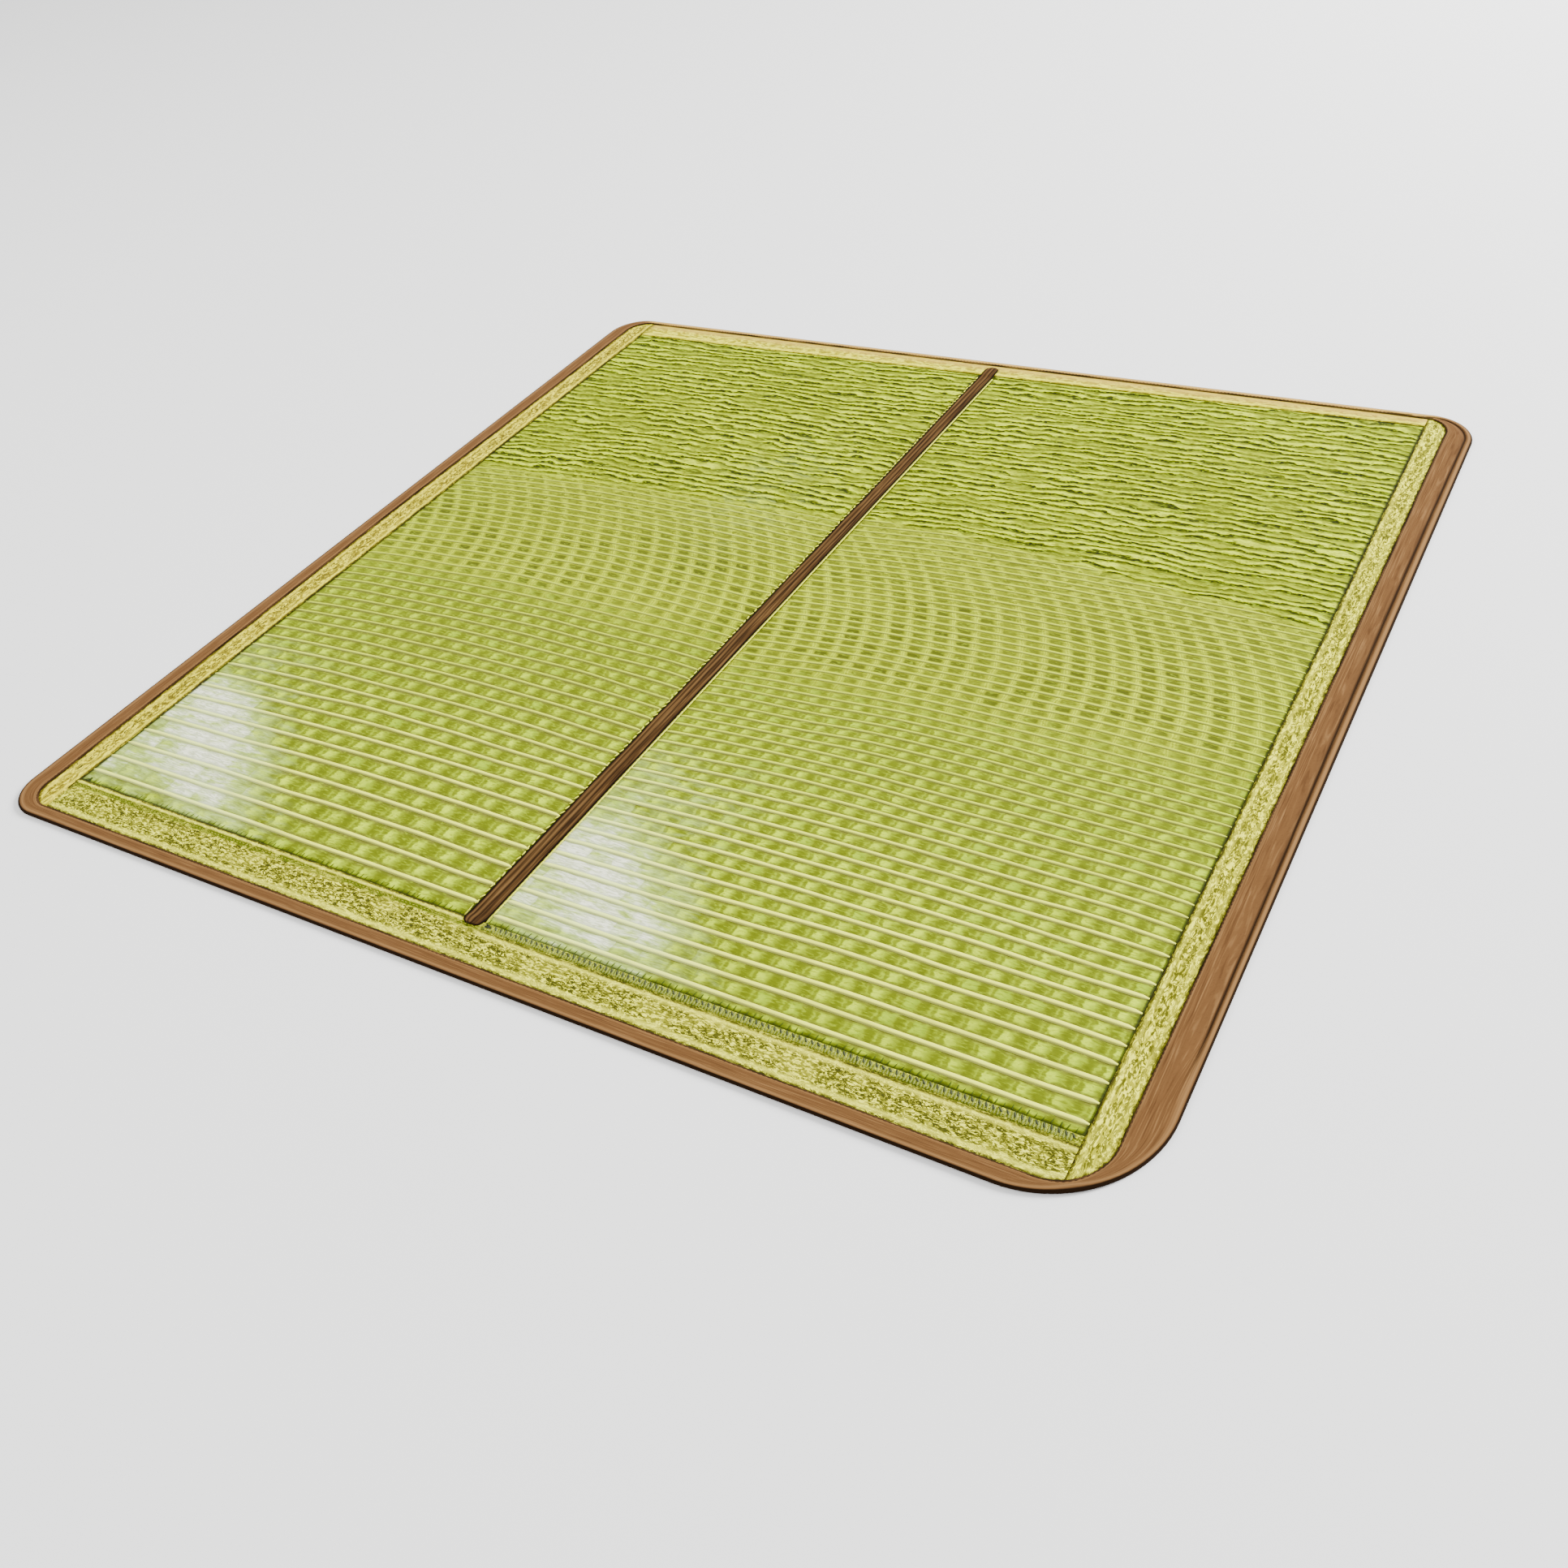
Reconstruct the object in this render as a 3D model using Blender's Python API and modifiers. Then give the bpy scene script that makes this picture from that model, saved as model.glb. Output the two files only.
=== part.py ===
"""Bamboo sleeping mat, laid out flat.

Two woven bamboo panels lie side by side under a brown centre strip. Cream cloth borders cover
their rims on the face and on the underside, and a brown binding tape clasps the whole edge. Four
brown elastic straps cross the corners of the underside.

Metres, +Z up. Across runs along the front edge (X) and along runs from the front edge to the back
edge (Y). Both are measured from the outer front left corner, and at() moves them to the origin,
which lies under the middle of the mat.
"""
import math

import bmesh
import bpy

# Whole mat.
WIDTH = 2.000
LENGTH = 1.950
CORNER_RADIUS = {"front_left": 0.072, "front_right": 0.170, "back_right": 0.092, "back_left": 0.078}
ARC_STEPS = 9
TURNS = (
    {"corner": "back_right", "in_x": -1, "in_y": -1, "start": 0},
    {"corner": "back_left", "in_x": 1, "in_y": -1, "start": 90},
    {"corner": "front_left", "in_x": 1, "in_y": 1, "start": 180},
    {"corner": "front_right", "in_x": -1, "in_y": 1, "start": 270},
)

# Heights of the layers, from the floor up.
GAP = 0.0003
WELD = 0.00001
UNDER_CLOTH = 0.0012
TAPE = 0.0014
PANEL_TOP = 0.0033
CORD_HEIGHT = 0.0012
BORDER_CLOTH = 0.0012
BORDER_BOTTOM = PANEL_TOP + GAP
BORDER_TOP = BORDER_BOTTOM + BORDER_CLOTH
TAPE_BOTTOM = BORDER_TOP + GAP
MAT_TOP = TAPE_BOTTOM + TAPE
RECESS_TOP = TAPE + GAP

# Binding tape: its wall round the rim, and how far it reaches in over each side.
TAPE_WALL = 0.0025
TAPE_ROUNDING = 0.0020
ROUNDED_FROM_DEGREES = 60
TAPE_FRONT = 0.027
TAPE_RIGHT = 0.052
TAPE_BACK = 0.015
TAPE_LEFT = (
    {"along": 0.150, "reach": 0.040},
    {"along": 0.600, "reach": 0.036},
    {"along": 0.975, "reach": 0.032},
    {"along": 1.650, "reach": 0.038},
)
TAPE_INNER_RADIUS = {"front_left": 0.045, "front_right": 0.078, "back_right": 0.050, "back_left": 0.048}

# Sewn groove that parts a narrow lip from the tape, down the right side and round the back corner.
GROOVE_FROM_EDGE = 0.0135
GROOVE_WIDTH = 0.0050
GROOVE_DEPTH = 0.0008
GROOVE_FRONT = 0.200

# Field: the woven ground that shows between the cream borders.
FIELD_LEFT = 0.088
FIELD_RIGHT = 1.906
FIELD_FRONT = 0.103
FIELD_BACK_AT_LEFT = 1.876
FIELD_BACK_AT_RIGHT = 1.904
BORDER_SEAM = 0.0004

# Centre strip, which leans a little from front to back over the seam of the two panels.
STRIP_FRONT = 0.091
STRIP_BACK = 1.921
STRIP_FRONT_ACROSS = 0.9675
STRIP_BACK_ACROSS = 1.0015
STRIP_WIDTH = 0.037
STRIP_CLOTH = 0.0014
STRIP_CROWN = 0.0006
STRIP_CROWN_POWER = 4
STRIP_END = 0.014
STRIP_END_SHARES = (0.0, 0.15, 0.5, 1.0)
STRIP_TIP = 0.45
STRIP_CLIMB = 0.009
STRIP_CLEAR = 0.001
STRIP_STEPS_ACROSS = 6
STRIP_STEPS_ALONG = 16

# Woven rows: pale cords that stand above the ground, closer together towards the back.
CORD_WIDTH = 0.0070
CORD_END = 0.0012
CORD_CLEAR = 0.0006
ROW_BOW = 0.027
ROWS = {
    "left": {"first": 0.134, "coarse": 0.041, "fine": 0.0190, "taper": 0.0226, "taper_from": 0.150},
    "right": {"first": 0.121, "coarse": 0.032, "fine": 0.0178, "taper": 0.0175, "taper_from": 0.120},
}
LAST_ROW_MARGIN = 0.008
FIELD_COLUMNS = 4
RIM_COLUMNS = 4

# Elastic straps across the corners of the underside.
STRAP_WIDTH = 0.060
STRAP_FROM_CORNER = 0.180

SPARE = 0.020
COLOURS = {
    "bamboo": {"colour": (0.40, 0.50, 0.08), "roughness": 0.45},
    "cream_cloth": {"colour": (0.66, 0.62, 0.24), "roughness": 0.90},
    "brown_tape": {"colour": (0.33, 0.15, 0.06), "roughness": 0.85},
    "dark_tape": {"colour": (0.17, 0.08, 0.03), "roughness": 0.85},
    "elastic": {"colour": (0.10, 0.035, 0.015), "roughness": 0.80},
}


def clear_scene():
    """Remove every object of the open scene."""
    for thing in list(bpy.data.objects):
        bpy.data.objects.remove(thing, do_unlink=True)


def make_collection(name):
    """Return a new collection linked to the scene."""
    group = bpy.data.collections.new(name)
    bpy.context.scene.collection.children.link(group)
    return group


def make_material(name):
    """Return a Principled material from the table of colours."""
    look = COLOURS[name]
    material = bpy.data.materials.new(name)
    material.use_nodes = True
    shader = material.node_tree.nodes["Principled BSDF"]
    shader.inputs["Base Color"].default_value = (*look["colour"], 1.0)
    shader.inputs["Roughness"].default_value = look["roughness"]
    shader.inputs["Metallic"].default_value = 0.0
    return material


def at(across, along):
    """Turn a place measured from the front left corner into X and Y."""
    return across - WIDTH / 2, along - LENGTH / 2


def mix(start, end, share):
    """Return the value that lies a share of the way from start to end."""
    return start + (end - start) * share


def back_of_field(across):
    """Return how far back the field reaches at a place across the mat."""
    share = (across - FIELD_LEFT) / (FIELD_RIGHT - FIELD_LEFT)
    return mix(FIELD_BACK_AT_LEFT, FIELD_BACK_AT_RIGHT, share)


def seam_across(along):
    """Return where the seam of the two panels lies, under the middle of the leaning strip."""
    share = (along - STRIP_FRONT) / (STRIP_BACK - STRIP_FRONT)
    return mix(STRIP_FRONT_ACROSS, STRIP_BACK_ACROSS, share)


def arc(centre, radius, start_degrees):
    """Return the points of a quarter circle, anticlockwise from a start angle."""
    points = []
    for step in range(ARC_STEPS + 1):
        angle = math.radians(start_degrees + 90.0 * step / ARC_STEPS)
        points.append((centre[0] + radius * math.cos(angle), centre[1] + radius * math.sin(angle)))
    return points


def rounded_frame(corners, radius, left_points=()):
    """Return an anticlockwise outline through four named corners, each rounded to its radius."""
    outline = []
    for turn in TURNS:
        across, along = corners[turn["corner"]]
        size = radius[turn["corner"]]
        if turn["corner"] == "front_left":
            outline += left_points
        outline += arc((across + turn["in_x"] * size, along + turn["in_y"] * size), size, turn["start"])
    return outline


def mat_outline(inset):
    """Return the mat's outline, drawn in by an inset all round."""
    corners = {
        "front_left": (inset, inset),
        "front_right": (WIDTH - inset, inset),
        "back_right": (WIDTH - inset, LENGTH - inset),
        "back_left": (inset, LENGTH - inset),
    }
    radius = {name: size - inset for name, size in CORNER_RADIUS.items()}
    return rounded_frame(corners, radius)


def tape_inner_outline(inset):
    """Return the tape's uneven inner edge, drawn in by an inset all round."""
    front, back, right = TAPE_FRONT + inset, LENGTH - TAPE_BACK - inset, WIDTH - TAPE_RIGHT - inset
    corners = {
        "front_left": (TAPE_LEFT[0]["reach"] + inset, front),
        "front_right": (right, front),
        "back_right": (right, back),
        "back_left": (TAPE_LEFT[-1]["reach"] + inset, back),
    }
    radius = {name: size - inset for name, size in TAPE_INNER_RADIUS.items()}
    left_points = [(row["reach"] + inset, row["along"]) for row in reversed(TAPE_LEFT)]
    return rounded_frame(corners, radius, left_points)


def field_outline(outset):
    """Return the four corners of the field, let out by an outset all round."""
    return [
        (FIELD_LEFT - outset, FIELD_FRONT - outset),
        (FIELD_RIGHT + outset, FIELD_FRONT - outset),
        (FIELD_RIGHT + outset, FIELD_BACK_AT_RIGHT + outset),
        (FIELD_LEFT - outset, FIELD_BACK_AT_LEFT + outset),
    ]


def flat_piece(name, outline, bottom, top, collection):
    """Extrude a flat outline into a plate."""
    curve = bpy.data.curves.new(name + "_outline", "CURVE")
    curve.dimensions = "2D"
    curve.fill_mode = "BOTH"
    curve.extrude = (top - bottom) / 2
    spline = curve.splines.new("POLY")
    spline.points.add(len(outline) - 1)
    spline.use_cyclic_u = True
    for point, place in zip(spline.points, outline):
        point.co = (*at(*place), 0.0, 1.0)
    drawn = bpy.data.objects.new(name + "_outline", curve)
    drawn.location.z = (top + bottom) / 2
    bpy.context.scene.collection.objects.link(drawn)
    bpy.context.view_layer.update()
    mesh = bpy.data.meshes.new_from_object(drawn.evaluated_get(bpy.context.evaluated_depsgraph_get()))
    mesh.name = name
    bm = bmesh.new()
    bm.from_mesh(mesh)
    bmesh.ops.remove_doubles(bm, verts=bm.verts, dist=WELD)
    bm.to_mesh(mesh)
    bm.free()
    plate = bpy.data.objects.new(name, mesh)
    plate.matrix_world = drawn.matrix_world.copy()
    collection.objects.link(plate)
    bpy.data.objects.remove(drawn, do_unlink=True)
    bpy.data.curves.remove(curve)
    return plate


def flat_cutter(name, outline, bottom, top, collection):
    """Extrude a flat outline into a cutter, which is no part of the mat."""
    cutter = flat_piece(name, outline, bottom, top, collection)
    cutter.hide_render = True
    cutter.display_type = "WIRE"
    return cutter


def boolean(piece, cutter, operation):
    """Cut a piece with a cutter, or keep only what lies inside it."""
    modifier = piece.modifiers.new(operation.title(), "BOOLEAN")
    modifier.operation = operation
    modifier.solver = "EXACT"
    modifier.object = cutter


def panel_rows(side):
    """Return how far along each cord of a panel lies, at the middle of the panel."""
    row = ROWS[side]
    cords = [row["first"]]
    while True:
        pitch = max(row["fine"], row["coarse"] - row["taper"] * (cords[-1] - row["taper_from"]))
        if cords[-1] + pitch > FIELD_BACK_AT_LEFT - LAST_ROW_MARGIN:
            return cords
        cords.append(cords[-1] + pitch)


def row_place(along, across, share):
    """Return where a row line lies: it bows with the panel and fans out to the back border.

    share runs from -1 to 1 across the panel.
    """
    part = (along - FIELD_FRONT) / (FIELD_BACK_AT_LEFT - FIELD_FRONT)
    bow = ROW_BOW * math.sin(math.pi * part) * share * share
    return FIELD_FRONT + part * (back_of_field(across) - FIELD_FRONT) - bow


def panel_columns(side, along):
    """Return the places across a panel's grid at one row line, from its left to its right."""
    seam = seam_across(along)
    if side == "left":
        first, near, far, last = -SPARE, FIELD_LEFT, seam - STRIP_WIDTH / 2, seam - GAP / 2
    else:
        first, near, far, last = seam + GAP / 2, seam + STRIP_WIDTH / 2, FIELD_RIGHT, WIDTH + SPARE
    near, far = near + CORD_CLEAR, far - CORD_CLEAR
    cord_near, cord_far = near + CORD_END, far - CORD_END
    cords = [mix(cord_near, cord_far, step / FIELD_COLUMNS) for step in range(FIELD_COLUMNS + 1)]
    return [first, near, *cords, far, last]


def panel_lines(side):
    """Return the lines of a panel's grid, from front to back: a foot, a crown and a foot for each cord."""
    lines = [{"along": -SPARE, "raised": False}, {"along": FIELD_FRONT, "raised": False}]
    for cord in panel_rows(side):
        lines.append({"along": cord - CORD_WIDTH / 2, "raised": False})
        lines.append({"along": cord, "raised": True})
        lines.append({"along": cord + CORD_WIDTH / 2, "raised": False})
    lines += [{"along": FIELD_BACK_AT_LEFT, "raised": False}, {"along": LENGTH + SPARE, "raised": False}]
    return lines


def place_panel_point(side, lines, column, line):
    """Return where one point of a panel's grid lies."""
    along = lines[line]["along"]
    columns = panel_columns(side, along)
    across = columns[column]
    if 0 < line < len(lines) - 1:
        share = 2 * (across - columns[1]) / (columns[-2] - columns[1]) - 1
        along = row_place(along, across, max(-1.0, min(1.0, share)))
    raised = lines[line]["raised"] and 1 < column < len(columns) - 2
    return (*at(across, along), PANEL_TOP + (CORD_HEIGHT if raised else 0.0))


def merge_rim_faces(bm, spots, last_column, last_line):
    """Merge the flat faces of a panel's two rims, which need no row lines."""
    for rim in (0, last_column - 1):
        strip = [face for face in bm.faces if {spots[vert][0] for vert in face.verts} == {rim, rim + 1}]
        bmesh.ops.dissolve_faces(bm, faces=strip)
    loose = [vert for vert in bm.verts if len(vert.link_edges) == 2 and 0 < spots[vert][1] < last_line]
    bmesh.ops.dissolve_verts(bm, verts=loose)


def close_slab(bm):
    """Draw the rim of an open face down to the floor and close it underneath."""
    rim = [edge for edge in bm.edges if edge.is_boundary]
    walls = bmesh.ops.extrude_edge_only(bm, edges=rim)["geom"]
    for vert in (item for item in walls if isinstance(item, bmesh.types.BMVert)):
        vert.co.z = 0.0
    bmesh.ops.holes_fill(bm, edges=[edge for edge in bm.edges if edge.is_boundary], sides=0)
    bmesh.ops.recalc_face_normals(bm, faces=bm.faces)


def woven_panel(side, collection, material, envelope, recesses):
    """Build one woven panel: a flat slab with its cords raised in the points of its face."""
    lines = panel_lines(side)
    last_column = FIELD_COLUMNS + RIM_COLUMNS
    last_line = len(lines) - 1
    bm = bmesh.new()
    bmesh.ops.create_grid(bm, x_segments=last_column, y_segments=last_line, size=0.5)
    spots = {}
    for vert in bm.verts:
        column = round((vert.co.x + 0.5) * last_column)
        line = round((vert.co.y + 0.5) * last_line)
        spots[vert] = (column, line)
        vert.co = place_panel_point(side, lines, column, line)
    merge_rim_faces(bm, spots, last_column, last_line)
    close_slab(bm)
    mesh = bpy.data.meshes.new(side + "_panel")
    bm.to_mesh(mesh)
    bm.free()
    mesh.materials.append(material)
    panel = bpy.data.objects.new(side + "_panel", mesh)
    collection.objects.link(panel)
    boolean(panel, envelope, "INTERSECT")
    for recess in recesses:
        boolean(panel, recess, "DIFFERENCE")


def border_outlines():
    """Return the outline of each border strip: the side strips run the whole length."""
    left, right = FIELD_LEFT, FIELD_RIGHT
    side_left, side_right = left - BORDER_SEAM, right + BORDER_SEAM
    outer_left, outer_right = -SPARE, WIDTH + SPARE
    low, high = -SPARE, LENGTH + SPARE
    return {
        "left": [(outer_left, low), (side_left, low), (side_left, high), (outer_left, high)],
        "right": [(side_right, low), (outer_right, low), (outer_right, high), (side_right, high)],
        "front": [(left, low), (right, low), (right, FIELD_FRONT), (left, FIELD_FRONT)],
        "back": [(left, FIELD_BACK_AT_LEFT), (right, FIELD_BACK_AT_RIGHT), (right, high), (left, high)],
    }


def border_strips(prefix, bottom, top, collection, material, envelope):
    """Build the four cream strips of the face or of the underside."""
    for side, outline in border_outlines().items():
        strip = flat_piece(f"{prefix}_{side}", outline, bottom, top, collection)
        strip.data.materials.append(material)
        boolean(strip, envelope, "INTERSECT")


def groove_outline():
    """Return the band of the sewn groove: up the right side and round the back right corner."""
    outer, inner = GROOVE_FROM_EDGE, GROOVE_FROM_EDGE + GROOVE_WIDTH
    centre = (WIDTH - CORNER_RADIUS["back_right"], LENGTH - CORNER_RADIUS["back_right"])
    band = [(WIDTH - outer, GROOVE_FRONT)] + arc(centre, CORNER_RADIUS["back_right"] - outer, 0)
    band += reversed(arc(centre, CORNER_RADIUS["back_right"] - inner, 0))
    band.append((WIDTH - inner, GROOVE_FRONT))
    return band


def round_rim(plate, width):
    """Round the top and bottom edges of a plate."""
    bm = bmesh.new()
    bm.from_mesh(plate.data)
    level = [edge for edge in bm.edges if abs(edge.verts[0].co.z - edge.verts[1].co.z) < GAP]
    sharp = [edge for edge in level if edge.calc_face_angle() > math.radians(ROUNDED_FROM_DEGREES)]
    bmesh.ops.bevel(bm, geom=sharp, offset=width, segments=2, profile=0.5, affect="EDGES", material=-1)
    bm.to_mesh(plate.data)
    bm.free()


def binding_tape(collection, cutters, material):
    """Build the brown tape that is folded over the rim, with its sewn groove."""
    tape = flat_piece("binding_tape", mat_outline(0.0), 0.0, MAT_TOP, collection)
    round_rim(tape, TAPE_ROUNDING)
    tape.data.materials.append(material)
    window = flat_cutter("tape_window", tape_inner_outline(0.0), -SPARE, SPARE, cutters)
    channel = flat_cutter("tape_channel", mat_outline(TAPE_WALL), TAPE, TAPE_BOTTOM, cutters)
    groove = flat_cutter("tape_groove", groove_outline(), MAT_TOP - GROOVE_DEPTH, SPARE, cutters)
    for cutter in (window, channel, groove):
        boolean(tape, cutter, "DIFFERENCE")


def strip_lines():
    """Return the cross lines of the centre strip, close together where its ends round and climb."""
    end_steps = [STRIP_END * share for share in STRIP_END_SHARES]
    cloth_back = back_of_field(STRIP_BACK_ACROSS)
    front = [STRIP_FRONT + step for step in end_steps] + [FIELD_FRONT + STRIP_CLIMB + STRIP_CLEAR]
    back = [cloth_back - STRIP_CLIMB - STRIP_CLEAR, cloth_back - STRIP_CLEAR]
    back += [STRIP_BACK - step for step in reversed(end_steps)]
    middle = [mix(front[-1], back[0], step / STRIP_STEPS_ALONG) for step in range(1, STRIP_STEPS_ALONG)]
    return front + middle + back


def centre_strip(collection, material):
    """Build the brown strip over the seam: it climbs onto the cream border at both ends."""
    lines = strip_lines()
    last_line = len(lines) - 1
    cloth_back = back_of_field(STRIP_BACK_ACROSS)
    bm = bmesh.new()
    bmesh.ops.create_grid(bm, x_segments=STRIP_STEPS_ACROSS, y_segments=last_line, size=0.5)
    for vert in bm.verts:
        along = lines[round((vert.co.y + 0.5) * last_line)]
        share = vert.co.x * 2
        to_end = min(1.0, min(along - STRIP_FRONT, STRIP_BACK - along) / STRIP_END)
        rounding = math.sqrt(max(0.0, 1 - (1 - to_end) ** 2))
        half_width = STRIP_WIDTH / 2 * mix(STRIP_TIP, 1.0, rounding)
        to_cloth = min(along - FIELD_FRONT, cloth_back - along) - STRIP_CLEAR
        lift = 1 - max(0.0, min(1.0, to_cloth / STRIP_CLIMB))
        crown = STRIP_CROWN * (1 - share**STRIP_CROWN_POWER)
        height = mix(PANEL_TOP, BORDER_TOP, lift) + GAP + STRIP_CLOTH + crown
        vert.co = (*at(seam_across(along) + share * half_width, along), height)
    mesh = bpy.data.meshes.new("centre_strip")
    bm.to_mesh(mesh)
    bm.free()
    mesh.materials.append(material)
    strip = bpy.data.objects.new("centre_strip", mesh)
    collection.objects.link(strip)
    cloth = strip.modifiers.new("Cloth", "SOLIDIFY")
    cloth.thickness = STRIP_CLOTH
    cloth.offset = -1.0


def strap_outline(end, side, outset):
    """Return a strap across one corner of the field, let out by an outset all round."""
    half_reach = STRAP_WIDTH / math.sqrt(2)
    grow = outset * math.sqrt(2)
    near, far = STRAP_FROM_CORNER - half_reach - grow, STRAP_FROM_CORNER + half_reach + grow
    corner_x = FIELD_LEFT if side == "left" else FIELD_RIGHT
    corner_y = FIELD_FRONT if end == "front" else back_of_field(corner_x)
    in_x = 1 if side == "left" else -1
    in_y = 1 if end == "front" else -1
    clear = GAP - outset
    outline = []
    for inward_x, inward_y in ((near, clear), (far, clear), (clear, far), (clear, near)):
        across = corner_x + in_x * (inward_x - clear if inward_x > clear else clear)
        along = corner_y + in_y * (inward_y - clear if inward_y > clear else clear)
        if end == "back":
            along += back_of_field(across) - corner_y
        outline.append((across, along))
    return outline


def corner_straps(collection, cutters, material):
    """Build the four elastic straps, and return the recesses that they press into the panels."""
    recesses = {"left": [], "right": []}
    for end in ("front", "back"):
        for side in ("left", "right"):
            outline = strap_outline(end, side, 0.0)
            strap = flat_piece(f"corner_strap_{end}_{side}", outline, 0.0, UNDER_CLOTH, collection)
            strap.data.materials.append(material)
            outline = strap_outline(end, side, GAP)
            recess = flat_cutter(f"recess_{end}_{side}", outline, -SPARE, UNDER_CLOTH + GAP, cutters)
            recesses[side].append(recess)
    return recesses


def under_rim_cutter(cutters):
    """Build the cutter that makes room under the panels' rims, all round the field."""
    low, right, back = -SPARE * 2, WIDTH + SPARE * 2, LENGTH + SPARE * 2
    around = [(low, low), (right, low), (right, back), (low, back)]
    under_rim = flat_cutter("under_rim", around, -SPARE, RECESS_TOP, cutters)
    window = flat_cutter("under_rim_window", field_outline(-GAP), -SPARE * 2, SPARE, cutters)
    boolean(under_rim, window, "DIFFERENCE")
    return under_rim


def build_mat():
    """Build every piece of the mat."""
    clear_scene()
    mat = make_collection("bamboo_sleeping_mat")
    cutters = make_collection("cutters")
    materials = {name: make_material(name) for name in COLOURS}
    inside_tape = flat_cutter("inside_tape", mat_outline(TAPE_WALL + GAP), -SPARE, SPARE, cutters)
    inside_rim = flat_cutter("inside_rim", tape_inner_outline(GAP), -SPARE, SPARE, cutters)
    under_rim = under_rim_cutter(cutters)
    recesses = corner_straps(mat, cutters, materials["elastic"])
    for side in ("left", "right"):
        woven_panel(side, mat, materials["bamboo"], inside_tape, [under_rim, *recesses[side]])
    border_strips("border", BORDER_BOTTOM, BORDER_TOP, mat, materials["cream_cloth"], inside_tape)
    border_strips("under_border", 0.0, UNDER_CLOTH, mat, materials["cream_cloth"], inside_rim)
    binding_tape(mat, cutters, materials["brown_tape"])
    centre_strip(mat, materials["dark_tape"])


build_mat()
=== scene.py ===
"""Looks of a woven bamboo sleeping mat that lies flat on a pale floor.

Two woven panels with raised cords lie under a brown centre strip. Cream cloth borders cover their
rims on both faces, a brown tape binds the whole edge, and elastic straps cross the four corners
of the underside. Metres, +Z up. Across (X) and along (Y) are measured from the outer front left
corner, as a maker would, and MatPlan.at() moves them to the frame's origin under the middle.
"""

import logging
import math
from contextlib import contextmanager
from dataclasses import dataclass, field
from enum import Enum
from functools import partial, reduce
from typing import Iterator, Optional, Sequence, Union

import bmesh
import bpy
import numpy as np
from mathutils import Matrix, Vector


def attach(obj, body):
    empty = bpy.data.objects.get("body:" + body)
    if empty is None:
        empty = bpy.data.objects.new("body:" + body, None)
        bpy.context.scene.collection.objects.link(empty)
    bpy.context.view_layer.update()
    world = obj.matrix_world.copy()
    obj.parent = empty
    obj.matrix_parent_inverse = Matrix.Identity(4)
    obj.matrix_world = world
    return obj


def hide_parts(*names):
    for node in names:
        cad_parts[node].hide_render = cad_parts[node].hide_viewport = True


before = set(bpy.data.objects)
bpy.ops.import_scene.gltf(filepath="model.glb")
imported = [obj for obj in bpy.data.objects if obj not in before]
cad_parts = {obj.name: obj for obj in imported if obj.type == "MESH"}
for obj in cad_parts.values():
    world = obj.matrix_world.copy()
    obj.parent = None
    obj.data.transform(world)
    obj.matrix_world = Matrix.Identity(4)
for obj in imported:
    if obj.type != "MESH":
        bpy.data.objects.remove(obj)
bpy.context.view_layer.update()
LOG = logging.getLogger("bamboo_mat")
BODY = "root"
# Room left between cloths that lie on each other, in metres.
GAP = 0.0003

Array = np.ndarray
Colour = tuple[float, float, float, float]
Piece = bpy.types.Object
Socket = bpy.types.NodeSocket
Input = Union[Socket, Colour, float]


class Side(Enum):
    """The two halves of the mat."""

    LEFT = "left"
    RIGHT = "right"


class Edge(Enum):
    """The four edges of the mat."""

    FRONT = "front"
    BACK = "back"
    LEFT = "left"
    RIGHT = "right"


def smooth(low: float, high: float, value: Array) -> Array:
    """Ease from 0 to 1 as a value goes from low to high, or back when high is the smaller."""
    share = np.clip((value - low) / (high - low), 0.0, 1.0)
    return share * share * (3 - 2 * share)


def bell(middle: float, half: float, value: Array) -> Array:
    """Return 1 at the middle, fading to nothing past a few half widths."""
    return np.exp(-(((value - middle) / half) ** 2))


def mix(start: Array, end: Array, share: Array) -> Array:
    """Return the value that lies a share of the way from start to end."""
    return start + (end - start) * share


class Unevenness:
    """Seeded smooth noise that makes cloth as uneven as it is by hand."""

    def __init__(self, seed: int, across: float, along: float) -> None:
        """Draw the noise.

        Args:
            seed: Seed of the random draws.
            across: Size of one swell across the mat.
            along: Size of one swell along the mat.
        """
        self.swells = np.random.default_rng(seed).uniform(-1.0, 1.0, (257, 257))
        self.across = across
        self.along = along

    def at(self, x: Array, y: Array) -> Array:
        """Read the noise.

        Args:
            x: Places across the mat.
            y: Places along the mat.

        Returns:
            Values from -1 to 1, one for each place.
        """
        column, line = np.asarray(x) / self.across + 64.0, np.asarray(y) / self.along + 64.0
        left, low = np.floor(column).astype(int), np.floor(line).astype(int)
        right_share, high_share = smooth(0, 1, column - left), smooth(0, 1, line - low)
        left, low = left % 256, low % 256
        near = mix(self.swells[low, left], self.swells[low, left + 1], right_share)
        far = mix(self.swells[low + 1, left], self.swells[low + 1, left + 1], right_share)
        return mix(near, far, high_share)


def uneven_along(seed: int, size: float, places: Array) -> Array:
    """Return smooth noise from -1 to 1 along a line of places, with swells of one size."""
    return Unevenness(seed, size, 1.0).at(places, places * 0)


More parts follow.
